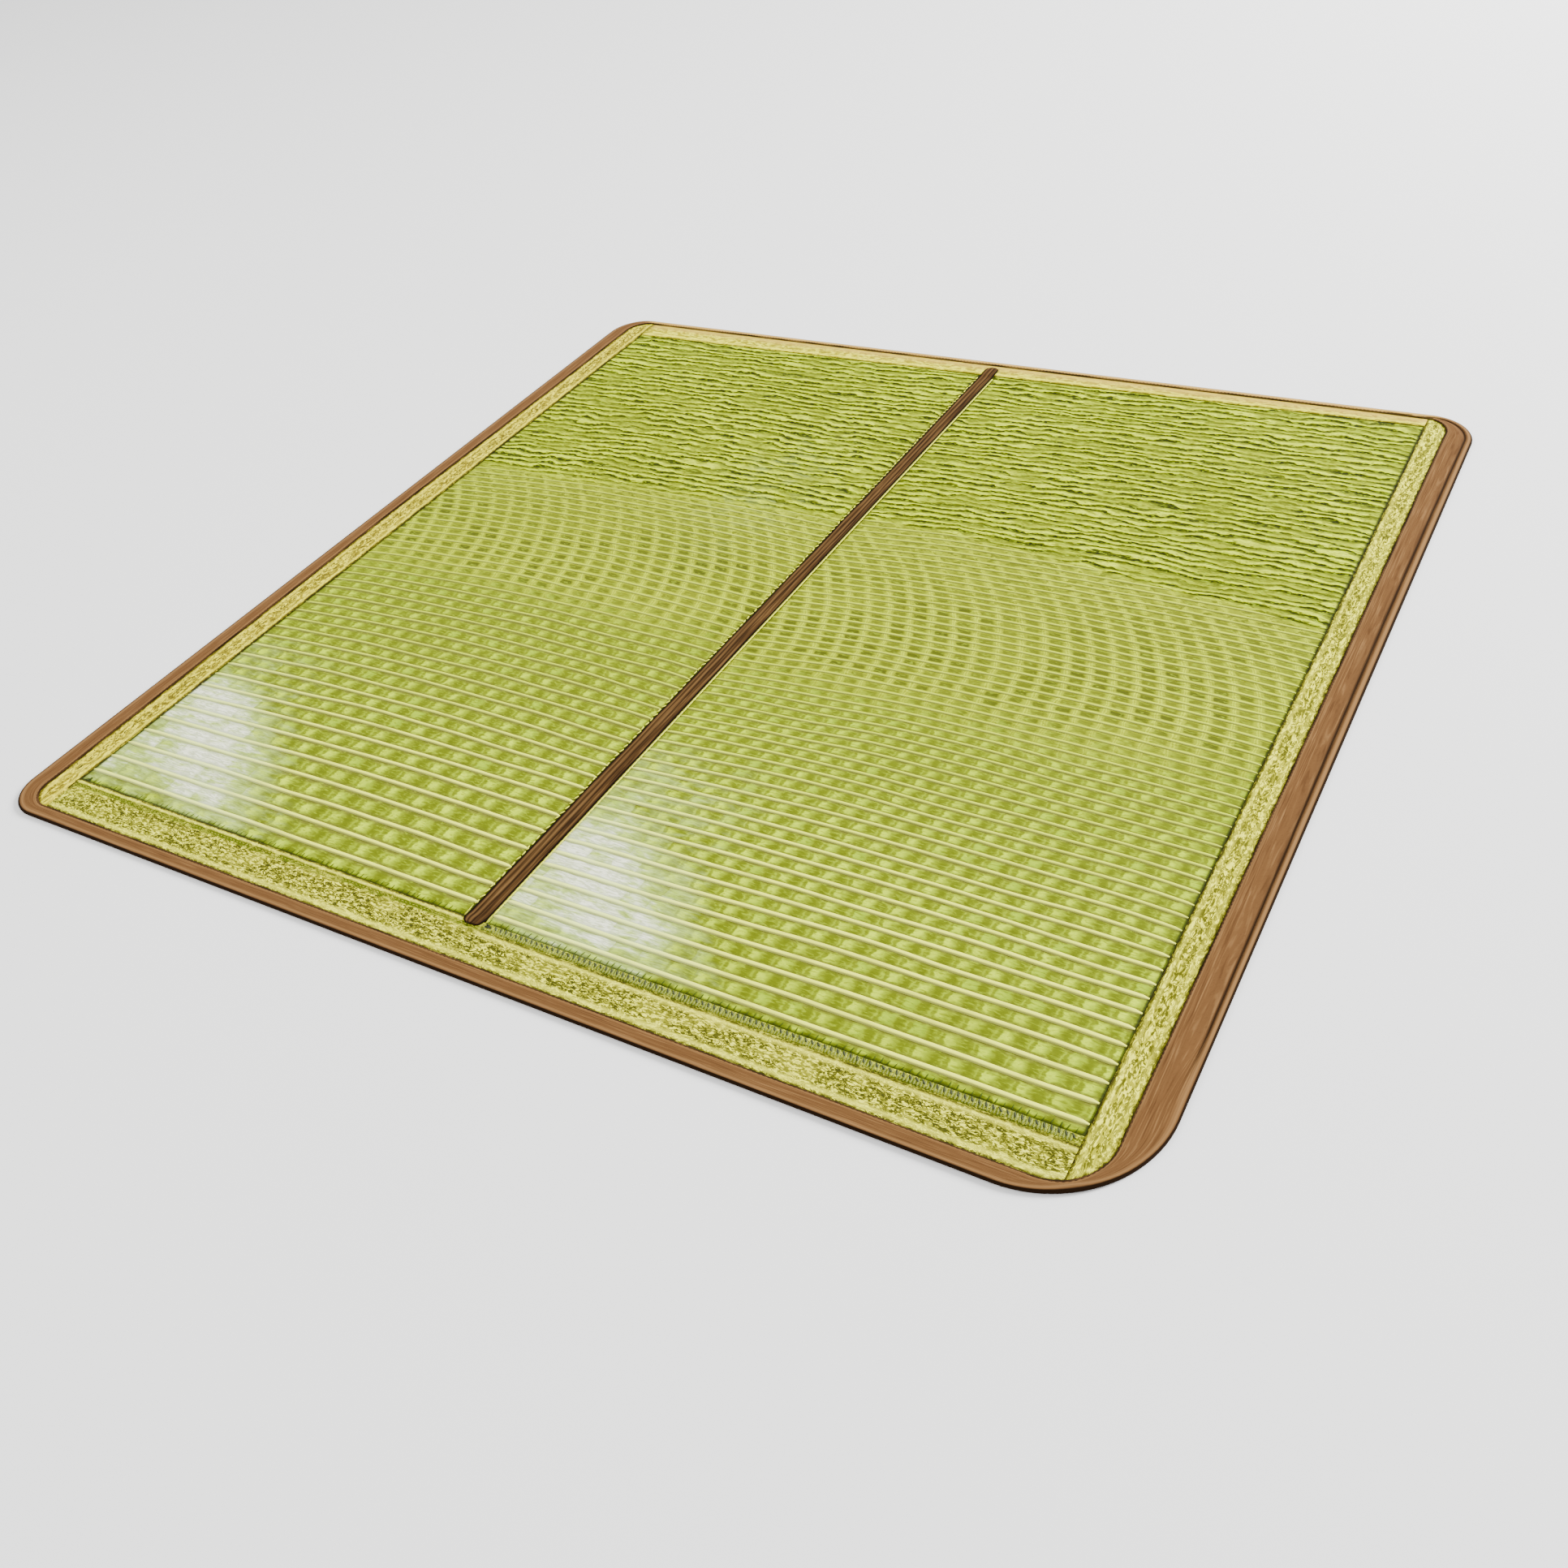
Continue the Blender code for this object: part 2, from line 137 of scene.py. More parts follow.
@dataclass(frozen=True)
class MatPlan:
    """The mat's plan: where its edges, seams and rows lie, as the solids have them."""

    width: float = 2.000
    length: float = 1.950
    corner_radius: dict = field(default_factory=lambda: {
        "front_left": 0.072, "front_right": 0.170, "back_right": 0.092, "back_left": 0.078})
    inner_radius: dict = field(default_factory=lambda: {
        "front_left": 0.045, "front_right": 0.078, "back_right": 0.050, "back_left": 0.048})
    tape_reach: dict = field(default_factory=lambda: {
        Edge.FRONT: ((0.0, 0.027),), Edge.RIGHT: ((0.0, 0.052),), Edge.BACK: ((0.0, 0.015),),
        Edge.LEFT: ((0.150, 0.040), (0.600, 0.036), (0.975, 0.032), (1.650, 0.038))})
    panel_top: float = 0.0033
    border_top: float = 0.0048
    tape_bottom: float = 0.0051
    tape_top: float = 0.0065
    recess_top: float = 0.0017
    under_cloth: float = 0.0012
    field_left: float = 0.088
    field_right: float = 1.906
    field_front: float = 0.103
    field_back_at_left: float = 1.876
    field_back_at_right: float = 1.904
    strip_front: float = 0.091
    strip_back: float = 1.921
    strip_front_across: float = 0.9675
    strip_back_across: float = 1.0015
    strip_width: float = 0.037
    row_bow: float = 0.027
    last_row_margin: float = 0.008
    rows: dict = field(default_factory=lambda: {
        Side.LEFT: {"first": 0.134, "coarse": 0.041, "fine": 0.0190, "taper": 0.0226, "taper_from": 0.150},
        Side.RIGHT: {"first": 0.121, "coarse": 0.032, "fine": 0.0178, "taper": 0.0175, "taper_from": 0.120}})

    def at(self, across: Array, along: Array, height: Array) -> Array:
        """Turn places measured from the front left corner into points of the frame, one in a row."""
        across, along, height = np.broadcast_arrays(across, along, height)
        return np.stack([across - self.width / 2, along - self.length / 2, height], axis=-1)

    def back_of_field(self, across: Array) -> Array:
        """Return how far back the weave shows at a place across the mat."""
        share = (across - self.field_left) / (self.field_right - self.field_left)
        return mix(self.field_back_at_left, self.field_back_at_right, share)

    def seam(self, along: Array) -> Array:
        """Return where the seam of the panels lies under the leaning strip."""
        share = (along - self.strip_front) / (self.strip_back - self.strip_front)
        return mix(self.strip_front_across, self.strip_back_across, share)

    def cords(self, side: Side) -> Array:
        """Place the cords of a panel, at the panel's middle.

        Args:
            side: The panel.

        Returns:
            Places along the mat, from front to back.
        """
        row = self.rows[side]
        places = [row["first"]]
        while True:
            pitch = max(row["fine"], row["coarse"] - row["taper"] * (places[-1] - row["taper_from"]))
            if places[-1] + pitch > self.field_back_at_left - self.last_row_margin:
                return np.array(places)
            places.append(places[-1] + pitch)

    def row_place(self, along: Array, across: Array, share: Array) -> Array:
        """Return where a row line lies once it bows and fans out to the back border.

        Args:
            along: The row's place at the panel's middle, before it fans out.
            across: Places across the mat.
            share: The same places as shares of the panel, from -1 to 1.

        Returns:
            Places along the mat.
        """
        part = (along - self.field_front) / (self.field_back_at_left - self.field_front)
        bow = self.row_bow * np.sin(math.pi * part) * share * share
        return self.field_front + part * (self.back_of_field(across) - self.field_front) - bow

    def panel_edges(self, side: Side, along: Array) -> tuple[Array, Array]:
        """Find both sides of a panel's weave.

        Args:
            side: The panel.
            along: Places along the mat.

        Returns:
            Where the weave starts and where it ends across the mat.
        """
        seam = self.seam(along)
        if side is Side.LEFT:
            return np.full_like(seam, self.field_left), seam - self.strip_width / 2
        return seam + self.strip_width / 2, np.full_like(seam, self.field_right)

    def rounded(self, edge: Edge, place: Array, reach: Array, radii: dict,
                corner_reach: Sequence[float]) -> Array:
        """Return a line that follows one edge of the mat and turns with the round corners.

        Args:
            edge: The edge.
            place: Places along that edge.
            reach: How far in from the mat's outline the line runs at each place.
            radii: The corners' radii.
            corner_reach: How far in from the two edges at the ends the corners start.

        Returns:
            Across for the left and right edges, along for the front and back edges.
        """
        upright = edge in (Edge.LEFT, Edge.RIGHT)
        run = self.length if upright else self.width
        names = ("front_" + edge.value, "back_" + edge.value) if upright else (
            edge.value + "_left", edge.value + "_right")
        drawn = reach + np.zeros_like(place)
        for name, ends, from_end in zip(names, corner_reach, (place, run - place)):
            radius = radii[name]
            past = np.maximum(radius + ends - from_end, 0.0)
            arc = reach + radius - np.sqrt(np.maximum(radius**2 - past**2, 0.0))
            drawn = np.where(past > radius, 1.0, np.maximum(drawn, np.where(past > 0, arc, reach)))
        far = self.width if upright else self.length
        return drawn if edge in (Edge.LEFT, Edge.FRONT) else far - drawn

    def outline(self, edge: Edge, place: Array, inset: float) -> Array:
        """Return how far out the mat's rounded outline reaches, drawn in by an inset."""
        radii = {name: radius - inset for name, radius in self.corner_radius.items()}
        return self.rounded(edge, place, inset, radii, (inset, inset))

    def tape_edge(self, edge: Edge, place: Array) -> Array:
        """Follow the tape's inner edge along one edge of the mat.

        Args:
            edge: The edge.
            place: Places along that edge.

        Returns:
            Across for the left and right edges, along for the front and back edges.
        """
        known = np.array(self.tape_reach[edge])
        reach = np.interp(place, known[:, 0], known[:, 1])
        neighbours = (Edge.FRONT, Edge.BACK) if edge in (Edge.LEFT, Edge.RIGHT) else (Edge.LEFT, Edge.RIGHT)
        ends = [self.tape_reach[other][0][1] for other in neighbours]
        return self.rounded(edge, place, reach, self.inner_radius, ends)


PLAN = MatPlan()


def tint(red: float, green: float, blue: float) -> Colour:
    """Return a material's colour as the shares of red, green and blue light that it gives back."""
    return red, green, blue, 1.0


class Recipe:
    """A material's nodes, with one short method for each kind of node that the finishes use."""

    def __init__(self, name: str) -> None:
        """Start a material.

        Args:
            name: The material's name.
        """
        self.material = bpy.data.materials.new(name)
        self.material.use_nodes = True
        self.tree = self.material.node_tree
        self.shader = self.tree.nodes["Principled BSDF"]
        self.coordinates = self.tree.nodes.new("ShaderNodeTexCoord").outputs["Object"]

    def feed(self, socket: Socket, value: Input) -> None:
        """Link a socket into another, or set the other to a plain value.

        Args:
            socket: The input that is fed.
            value: A socket or a plain value.
        """
        if isinstance(value, Socket):
            self.tree.links.new(value, socket)
        else:
            socket.default_value = value

    def add(self, kind: str, inputs: dict, **settings: object) -> bpy.types.Node:
        """Add a node.

        Args:
            kind: The node's kind.
            inputs: What goes into its inputs, by their names or numbers.
            **settings: The node's settings.

        Returns:
            The node.
        """
        node = self.tree.nodes.new("ShaderNode" + kind)
        for name, setting in settings.items():
            setattr(node, name, setting)
        for key, value in inputs.items():
            self.feed(node.inputs[key], value)
        return node

    def calc(self, operation: str, *values: Input) -> Socket:
        """Work out one number by a Math node's operation."""
        return self.add("Math", dict(enumerate(values)), operation=operation).outputs[0]

    def times(self, *values: Input) -> Socket:
        """Multiply numbers."""
        return reduce(partial(self.calc, "MULTIPLY"), values)

    def most(self, *values: Input) -> Socket:
        """Return the largest of several numbers."""
        return reduce(partial(self.calc, "MAXIMUM"), values)

    def ease(self, value: Input, low: float, high: float, start: float = 0.0, end: float = 1.0) -> Socket:
        """Ease a number from start to end as it goes from low to high."""
        inputs = dict(enumerate((value, low, high, start, end)))
        return self.add("MapRange", inputs, interpolation_type="SMOOTHSTEP").outputs[0]

    def pulse(self, value: Input, rise: tuple[float, float], fall: tuple[float, float]) -> Socket:
        """Return 1 between two soft slopes and 0 outside them."""
        return self.times(self.ease(value, *rise), self.ease(value, *fall, 1.0, 0.0))

    def colour(self, share: Input, start: Input, end: Input) -> Socket:
        """Mix two colours: inputs 6 and 7 and output 2 of the node are its colours."""
        return self.add("Mix", {0: share, 6: start, 7: end}, data_type="RGBA").outputs[2]

    def place(self, vector: Input, *scale: float) -> Socket:
        """Scale coordinates."""
        return self.add("Mapping", {"Vector": vector, "Scale": scale}).outputs[0]

    def noise(self, vector: Input, scale: float, detail: float, distortion: float = 0.0) -> Socket:
        """Return smooth noise from 0 to 1."""
        inputs = {"Vector": vector, "Scale": scale, "Detail": detail, "Distortion": distortion}
        return self.add("TexNoise", inputs).outputs["Fac"]

    def grain(self, across: float, along: float, detail: float, distortion: float = 0.0,
              where: Optional[Socket] = None) -> Socket:
        """Return noise with its own scales across and along, on the piece's place or another vector."""
        vector = self.coordinates if where is None else where
        return self.noise(self.place(vector, across, along, 1.0), 1.0, detail, distortion)

    def chance(self, vector: Input) -> Socket:
        """Return one random number from 0 to 1 for each value of a vector."""
        return self.add("TexWhiteNoise", {"Vector": vector}).outputs["Value"]

    def pair(self, first: Input, second: Input) -> Socket:
        """Join two numbers into a vector."""
        return self.add("CombineXYZ", {0: first, 1: second}).outputs[0]

    def parts(self, vector: Input) -> list[Socket]:
        """Split a vector into its three numbers."""
        return list(self.add("SeparateXYZ", {0: vector}).outputs)

    def map(self, name: str) -> list[Socket]:
        """Return the two coordinates of a UV map of the piece."""
        return self.parts(self.add("UVMap", {}, uv_map=name).outputs[0])[:2]

    def attribute(self, name: str) -> list[Socket]:
        """Return the three numbers of an attribute of the piece."""
        return self.parts(self.add("Attribute", {}, attribute_name=name).outputs["Vector"])

    def bump(self, height: Input, distance: float, strength: float) -> Socket:
        """Raise the surface's shading by a height."""
        inputs = {"Strength": strength, "Distance": distance, "Height": height}
        return self.add("Bump", inputs).outputs[0]

    def finish(self, colour: Input, roughness: Input, normal: Input, specular: float) -> bpy.types.Material:
        """Fill in the shader.

        Args:
            colour: Base colour.
            roughness: Roughness.
            normal: Normal from a bump.
            specular: Strength of the gloss, the same all over.

        Returns:
            The finished material.
        """
        self.feed(self.shader.inputs["Base Color"], colour)
        self.feed(self.shader.inputs["Roughness"], roughness)
        self.feed(self.shader.inputs["Normal"], normal)
        self.shader.inputs["Specular IOR Level"].default_value = specular
        return self.material


@dataclass(frozen=True)
class WeaveFace:
    """Face of the woven bamboo: floats between the cords, a lattice further back, then wrinkles."""

    green: Colour = tint(0.170, 0.218, 0.001)
    shaded: Colour = tint(0.090, 0.114, 0.001)
    shadow: Colour = tint(0.140, 0.145, 0.018)
    # floats: the floats' bright colour, used as the painted highlight on the raised floats, for their pale
    # marks and for lighter fibres.
    floats: Colour = tint(0.330, 0.450, 0.001)
    glint: Colour = tint(0.600, 0.780, 0.001)
    fresh: Colour = tint(0.220, 0.360, 0.001)
    lattice: Colour = tint(0.320, 0.380, 0.001)
    lattice_line: Colour = tint(0.520, 0.620, 0.001)
    dash: Colour = tint(0.066, 0.077, 0.005)
    # Painted highlight on the lit ridges of the wrinkles.
    ridge: Colour = tint(0.620, 0.740, 0.001)
    slope: Colour = tint(0.160, 0.196, 0.001)
    # Painted shade in the creases, and along the field's edges.
    crease_shade: Colour = tint(0.016, 0.022, 0.001)
    # Painted reflection: the glossy patches' white core, their greener edge and the darker lines through
    # them.
    reflection_white: Colour = tint(0.960, 0.975, 0.760)
    polished_green: Colour = tint(0.500, 0.650, 0.160)
    reflection_line: Colour = tint(0.190, 0.260, 0.050)

    def material(self) -> bpy.types.Material:
        """Build the finish from the weave's own map and attributes.

        Returns:
            The material.
        """
        recipe = Recipe("woven_bamboo_face")
        column, row = recipe.map("weave")
        waver = recipe.noise(recipe.coordinates, 60.0, 2.0)
        column = recipe.calc("MULTIPLY_ADD", waver, 0.26, column)
        lattice, wrinkle, reflection_patch = recipe.attribute("zones")
        # The third number of folds is how much painted shade lies along the field's edges.
        fold, depth, edge = recipe.attribute("folds")
        cell = recipe.calc("FRACT", column)
        band = recipe.calc("FRACT", row)
        chance = recipe.chance(recipe.pair(recipe.calc("FLOOR", column), recipe.calc("FLOOR", row)))
        fibres = recipe.grain(75.0, 260.0, 3.0, 0.6)
        front = self.front_colour(recipe, cell, band, chance)
        middle, dash = self.lattice_colour(recipe, cell, band, chance)
        back, crease_shade = self.wrinkle_colour(recipe, fold, depth)
        colour = recipe.colour(lattice, front, middle)
        colour = recipe.colour(wrinkle, colour, back)
        rough = recipe.ease(wrinkle, 0.0, 1.0, 0.55, 0.80)
        colour = recipe.colour(recipe.times(rough, recipe.ease(fibres, 0.52, 0.68)), colour, self.floats)
        colour = recipe.colour(recipe.times(rough, recipe.ease(fibres, 0.48, 0.32)), colour, self.shaded)
        tone = recipe.noise(recipe.coordinates, 3.2, 2.0)
        colour = recipe.colour(recipe.ease(tone, 0.35, 0.75, 0.0, 0.15), colour, self.shaded)
        # Painted reflection over the glossy patches; those patches are also less rough.
        colour = self.reflection_colour(recipe, colour, reflection_patch, cell, band, chance)
        # Painted shade along the field's edges, beside the raised borders and strip.
        colour = recipe.colour(recipe.times(edge, 0.92), colour, self.crease_shade)
        height = recipe.calc("MULTIPLY_ADD", fibres, 0.8, recipe.times(crease_shade, wrinkle, -1.4))
        height = recipe.calc("MULTIPLY_ADD", recipe.times(dash, lattice), -0.7, height)
        roughness = recipe.ease(reflection_patch, 0.0, 1.0, 0.60, 0.38)
        return recipe.finish(colour, roughness, recipe.bump(height, 0.0008, 0.9), 0.06)

    def front_colour(self, recipe: Recipe, cell: Input, band: Input, chance: Input) -> Socket:
        """Colour the front rows: a rounded float in each cell with a painted highlight and a painted glint
        on it, painted shade on its far side and a painted shadow along the cords, and a small mark before
        it.

        Args:
            recipe: The face's material.
            cell: How far across its cell a place lies, from 0 to 1.
            band: How far along its row a place lies, from 0 to 1.
            chance: The cell's random number.

        Returns:
            The colour.
        """
        along = recipe.parts(recipe.coordinates)[1]
        clear = recipe.ease(along, -0.60, -0.12, 1.0, 0.62)
        ragged = recipe.grain(95.0, 150.0, 2.0)
        ragged = recipe.calc("SUBTRACT", ragged, 0.5)
        cell = recipe.calc("MULTIPLY_ADD", ragged, 0.22, cell)
        uneven = recipe.calc("MULTIPLY_ADD", ragged, 0.30, band)
        # Painted shadow along the cords at both ends of each row.
        body = recipe.pulse(band, (0.10, 0.30), (0.68, 0.86))
        colour = recipe.colour(body, self.shadow, self.green)
        # Painted shade on the far side of each raised float.
        float_shade = recipe.pulse(cell, (0.52, 0.66), (0.78, 0.88))
        colour = recipe.colour(recipe.times(float_shade, clear, 0.60), colour, self.shaded)
        lit = recipe.times(clear, recipe.ease(chance, 0.0, 0.9, 0.60, 1.0))
        # Painted highlight on the lit side of each raised float.
        lit_float = recipe.times(recipe.pulse(cell, (0.07, 0.12), (0.38, 0.60)),
                            recipe.pulse(uneven, (0.16, 0.28), (0.70, 0.86)), lit)
        colour = recipe.colour(lit_float, colour, self.floats)
        # Painted glint at the core of each float.
        core = recipe.times(recipe.pulse(cell, (0.10, 0.15), (0.26, 0.46)),
                            recipe.pulse(uneven, (0.22, 0.36), (0.60, 0.78)), lit)
        colour = recipe.colour(core, colour, self.glint)
        mark = recipe.times(recipe.pulse(cell, (0.88, 0.92), (0.95, 1.00)),
                            recipe.pulse(uneven, (0.20, 0.32), (0.64, 0.80)), lit, 0.75)
        colour = recipe.colour(mark, colour, self.floats)
        fresh = recipe.times(lit_float, recipe.ease(chance, 0.70, 0.95, 0.0, 0.65))
        return recipe.colour(fresh, colour, self.fresh)

    def lattice_colour(self, recipe: Recipe, cell: Input, band: Input,
                       chance: Input) -> tuple[Socket, Socket]:
        """Colour the middle rows: a dark dash in each cell, which breaks up into hatching further back.

        Args:
            recipe: The face's material.
            cell: How far across its cell a place lies, from 0 to 1.
            band: How far along its row a place lies, from 0 to 1.
            chance: The cell's random number.

        Returns:
            The colour, and how much of a dash there is.
        """
        across, along, _ = recipe.parts(recipe.coordinates)
        dash = recipe.times(recipe.pulse(cell, (0.10, 0.24), (0.68, 0.86)),
                            recipe.pulse(band, (0.16, 0.32), (0.68, 0.86)))
        waves = recipe.noise(recipe.coordinates, 5.2, 1.0)
        dash = recipe.times(dash, recipe.ease(waves, 0.34, 0.54, 0.72, 1.0),
                            recipe.ease(chance, 0.0, 1.0, 0.70, 1.0),
                            recipe.ease(along, 0.08, 0.26, 1.0, 0.50))
        leaning = recipe.pair(recipe.calc("MULTIPLY_ADD", along, 30.0, recipe.times(across, 50.0)),
                              recipe.calc("MULTIPLY_ADD", across, -16.0, recipe.times(along, 100.0)))
        hatching = recipe.ease(recipe.noise(leaning, 1.0, 2.0, 0.4), 0.50, 0.60)
        dash = recipe.most(dash, recipe.times(hatching, recipe.ease(along, -0.05, 0.20, 0.15, 0.75)))
        line = recipe.most(recipe.pulse(cell, (0.00, 0.03), (0.05, 0.09)),
                           recipe.pulse(cell, (0.90, 0.93), (0.95, 0.99)))
        line = recipe.most(line, recipe.ease(band, 0.86, 0.96))
        line = recipe.times(line, recipe.ease(along, 0.04, 0.20, 0.9, 0.5))
        colour = recipe.colour(line, self.lattice, self.lattice_line)
        return recipe.colour(dash, colour, self.dash), dash

    def wrinkle_colour(self, recipe: Recipe, fold: Input, depth: Input) -> tuple[Socket, Socket]:
        """Colour the wrinkled rows at the back: painted shade in dark jagged creases in front of the ridges,
        whose lit sides get painted highlights.

        Args:
            recipe: The face's material.
            fold: The fold phase, whole at the creases.
            depth: How deep the folds are, from 0 to 1.

        Returns:
            The colour, and how much painted shade of the creases there is.
        """
        jags = recipe.grain(48.0, 100.0, 2.0, 0.3)
        jagged = recipe.calc("ADD", fold, recipe.calc("MULTIPLY_ADD", jags, 0.64, -0.32))
        place = recipe.calc("FRACT", jagged)
        depth = recipe.ease(depth, 0.20, 0.70, 0.30, 1.0)
        # Painted highlight on each ridge, painted shade in the creases in front of it.
        lit = recipe.times(recipe.pulse(place, (0.14, 0.24), (0.40, 0.74)), depth)
        crease_shade = recipe.most(recipe.ease(place, 0.17, 0.07), recipe.ease(place, 0.80, 0.93))
        crease_shade = recipe.times(crease_shade, depth)
        colour = recipe.colour(lit, self.slope, self.ridge)
        return recipe.colour(crease_shade, colour, self.crease_shade), crease_shade

    def reflection_colour(self, recipe: Recipe, colour: Input, reflection_patch: Input, cell: Input,
                      band: Input, chance: Input) -> Socket:
        """Paint the pale reflection patches: a painted reflection that keeps fine streaks and stays greener
        beside the cords, with painted shade lines there.

        Args:
            recipe: The face's material.
            colour: The weave's colour without the painted reflection.
            reflection_patch: How strong the painted reflection is at the place, from 0 to 1.
            cell: How far across its cell a place lies, from 0 to 1.
            band: How far along its row a place lies, from 0 to 1.
            chance: The cell's random number.

        Returns:
            The colour.
        """
        blotch = recipe.grain(26.0, 95.0, 3.0, 0.4)
        cloud = recipe.calc("MULTIPLY_ADD", blotch, 1.2, recipe.calc("SUBTRACT", reflection_patch, 0.60))
        cloud = recipe.calc("MULTIPLY_ADD", chance, 0.30, recipe.calc("SUBTRACT", cloud, 0.15))
        # Painted shade lines beside the cords inside the reflection.
        beside = recipe.most(recipe.pulse(band, (0.04, 0.10), (0.16, 0.30)),
                             recipe.pulse(band, (0.72, 0.84), (0.90, 0.96)))
        end = recipe.times(recipe.most(recipe.ease(cell, 0.88, 0.97), recipe.ease(cell, 0.12, 0.03)), 0.4)
        streaks = recipe.grain(34.0, 230.0, 2.0)
        streak = recipe.times(recipe.pulse(streaks, (0.42, 0.47), (0.52, 0.57)), 0.8)
        # Painted reflection, whiter at its core and greener at its edges.
        pale = recipe.colour(recipe.ease(cloud, 0.58, 1.12), self.polished_green, self.reflection_white)
        line = recipe.times(recipe.most(recipe.times(beside, 0.8), end, streak), 0.60)
        pale = recipe.colour(line, pale, self.reflection_line)
        share = recipe.times(recipe.ease(cloud, 0.0, 0.95, 0.0, 0.92), recipe.ease(reflection_patch, 0.0, 0.16))
        return recipe.colour(share, colour, pale)


@dataclass(frozen=True)
class WeaveUnderside:
    """Underside of the woven bamboo: a small basket weave with pale crossings."""

    green: Colour = tint(0.150, 0.225, 0.002)
    shaded: Colour = tint(0.042, 0.068, 0.001)
    crossing: Colour = tint(0.800, 0.820, 0.150)

    def material(self) -> bpy.types.Material:
        """Build the finish from the underside's own map, in cells of the weave.

        Returns:
            The material.
        """
        recipe = Recipe("woven_bamboo_underside")
        column, row = recipe.map("weave")
        waver = recipe.noise(recipe.coordinates, 40.0, 1.0)
        column = recipe.calc("MULTIPLY_ADD", waver, 0.25, column)
        row = recipe.calc("MULTIPLY_ADD", waver, -0.25, row)
        cell, band = recipe.calc("FRACT", column), recipe.calc("FRACT", row)
        first, second = recipe.calc("FLOOR", column), recipe.calc("FLOOR", row)
        chance = recipe.chance(recipe.pair(first, second))
        parity = recipe.calc("FLOORED_MODULO", recipe.calc("ADD", first, second), 2.0)
        over = recipe.times(recipe.pulse(cell, (0.02, 0.22), (0.78, 0.98)),
                            recipe.pulse(band, (0.02, 0.26), (0.74, 0.98)))
        fibres = recipe.grain(60.0, 420.0, 3.0)
        colour = recipe.colour(over, self.shaded, self.green)
        pale = recipe.times(over, parity, recipe.ease(chance, 0.2, 0.9, 0.15, 0.9))
        colour = recipe.colour(pale, colour, self.crossing)
        colour = recipe.colour(recipe.ease(fibres, 0.45, 0.7, 0.0, 0.5), colour, self.shaded)
        height = recipe.calc("MULTIPLY_ADD", fibres, 0.3, over)
        return recipe.finish(colour, 0.6, recipe.bump(height, 0.0012, 0.8), 0.2)


@dataclass(frozen=True)
class CordFinish:
    """Pale cords: straw with a greyer painted shade on their front-facing underside at the front, yellow
    green further back, and a painted reflection in the glossy patches.
    """

    straw: Colour = tint(0.780, 0.840, 0.050)
    # under: painted shade colour of the cords' front-facing underside.
    under: Colour = tint(0.260, 0.275, 0.070)
    lattice: Colour = tint(0.480, 0.580, 0.001)
    # Painted reflection colour of the cords in the glossy patches.
    reflection_white: Colour = tint(0.720, 0.840, 0.340)
    shaded: Colour = tint(0.200, 0.230, 0.020)

    def material(self) -> bpy.types.Material:
        """Build the finish from the cords' map and attributes.

        Returns:
            The material.
        """
        recipe = Recipe("weft_cord")
        run, around = recipe.map("cord")
        lattice, _, reflection_patch = recipe.attribute("zones")
        along = recipe.parts(recipe.coordinates)[1]
        blotch = recipe.grain(14.0, 90.0, 2.0)
        fuzz = recipe.grain(120.0, 900.0, 1.0)
        back = recipe.most(lattice, recipe.ease(along, -0.68, -0.30))
        colour = recipe.colour(back, self.straw, self.lattice)
        # Painted shade on the side of each cord that faces the front.
        front_face_shade = recipe.pulse(around, (0.17, 0.26), (0.45, 0.55))
        colour = recipe.colour(recipe.times(front_face_shade, 0.80), colour, self.under)
        colour = recipe.colour(recipe.ease(blotch, 0.44, 0.78, 0.0, 0.40), colour, self.shaded)
        # Painted reflection on the cords in the glossy patches.
        colour = recipe.colour(recipe.times(reflection_patch, recipe.ease(blotch, 0.3, 0.6, 0.8, 0.5)),
                               colour, self.reflection_white)
        return recipe.finish(colour, 0.6, recipe.bump(fuzz, 0.0003, 0.5), 0.1)


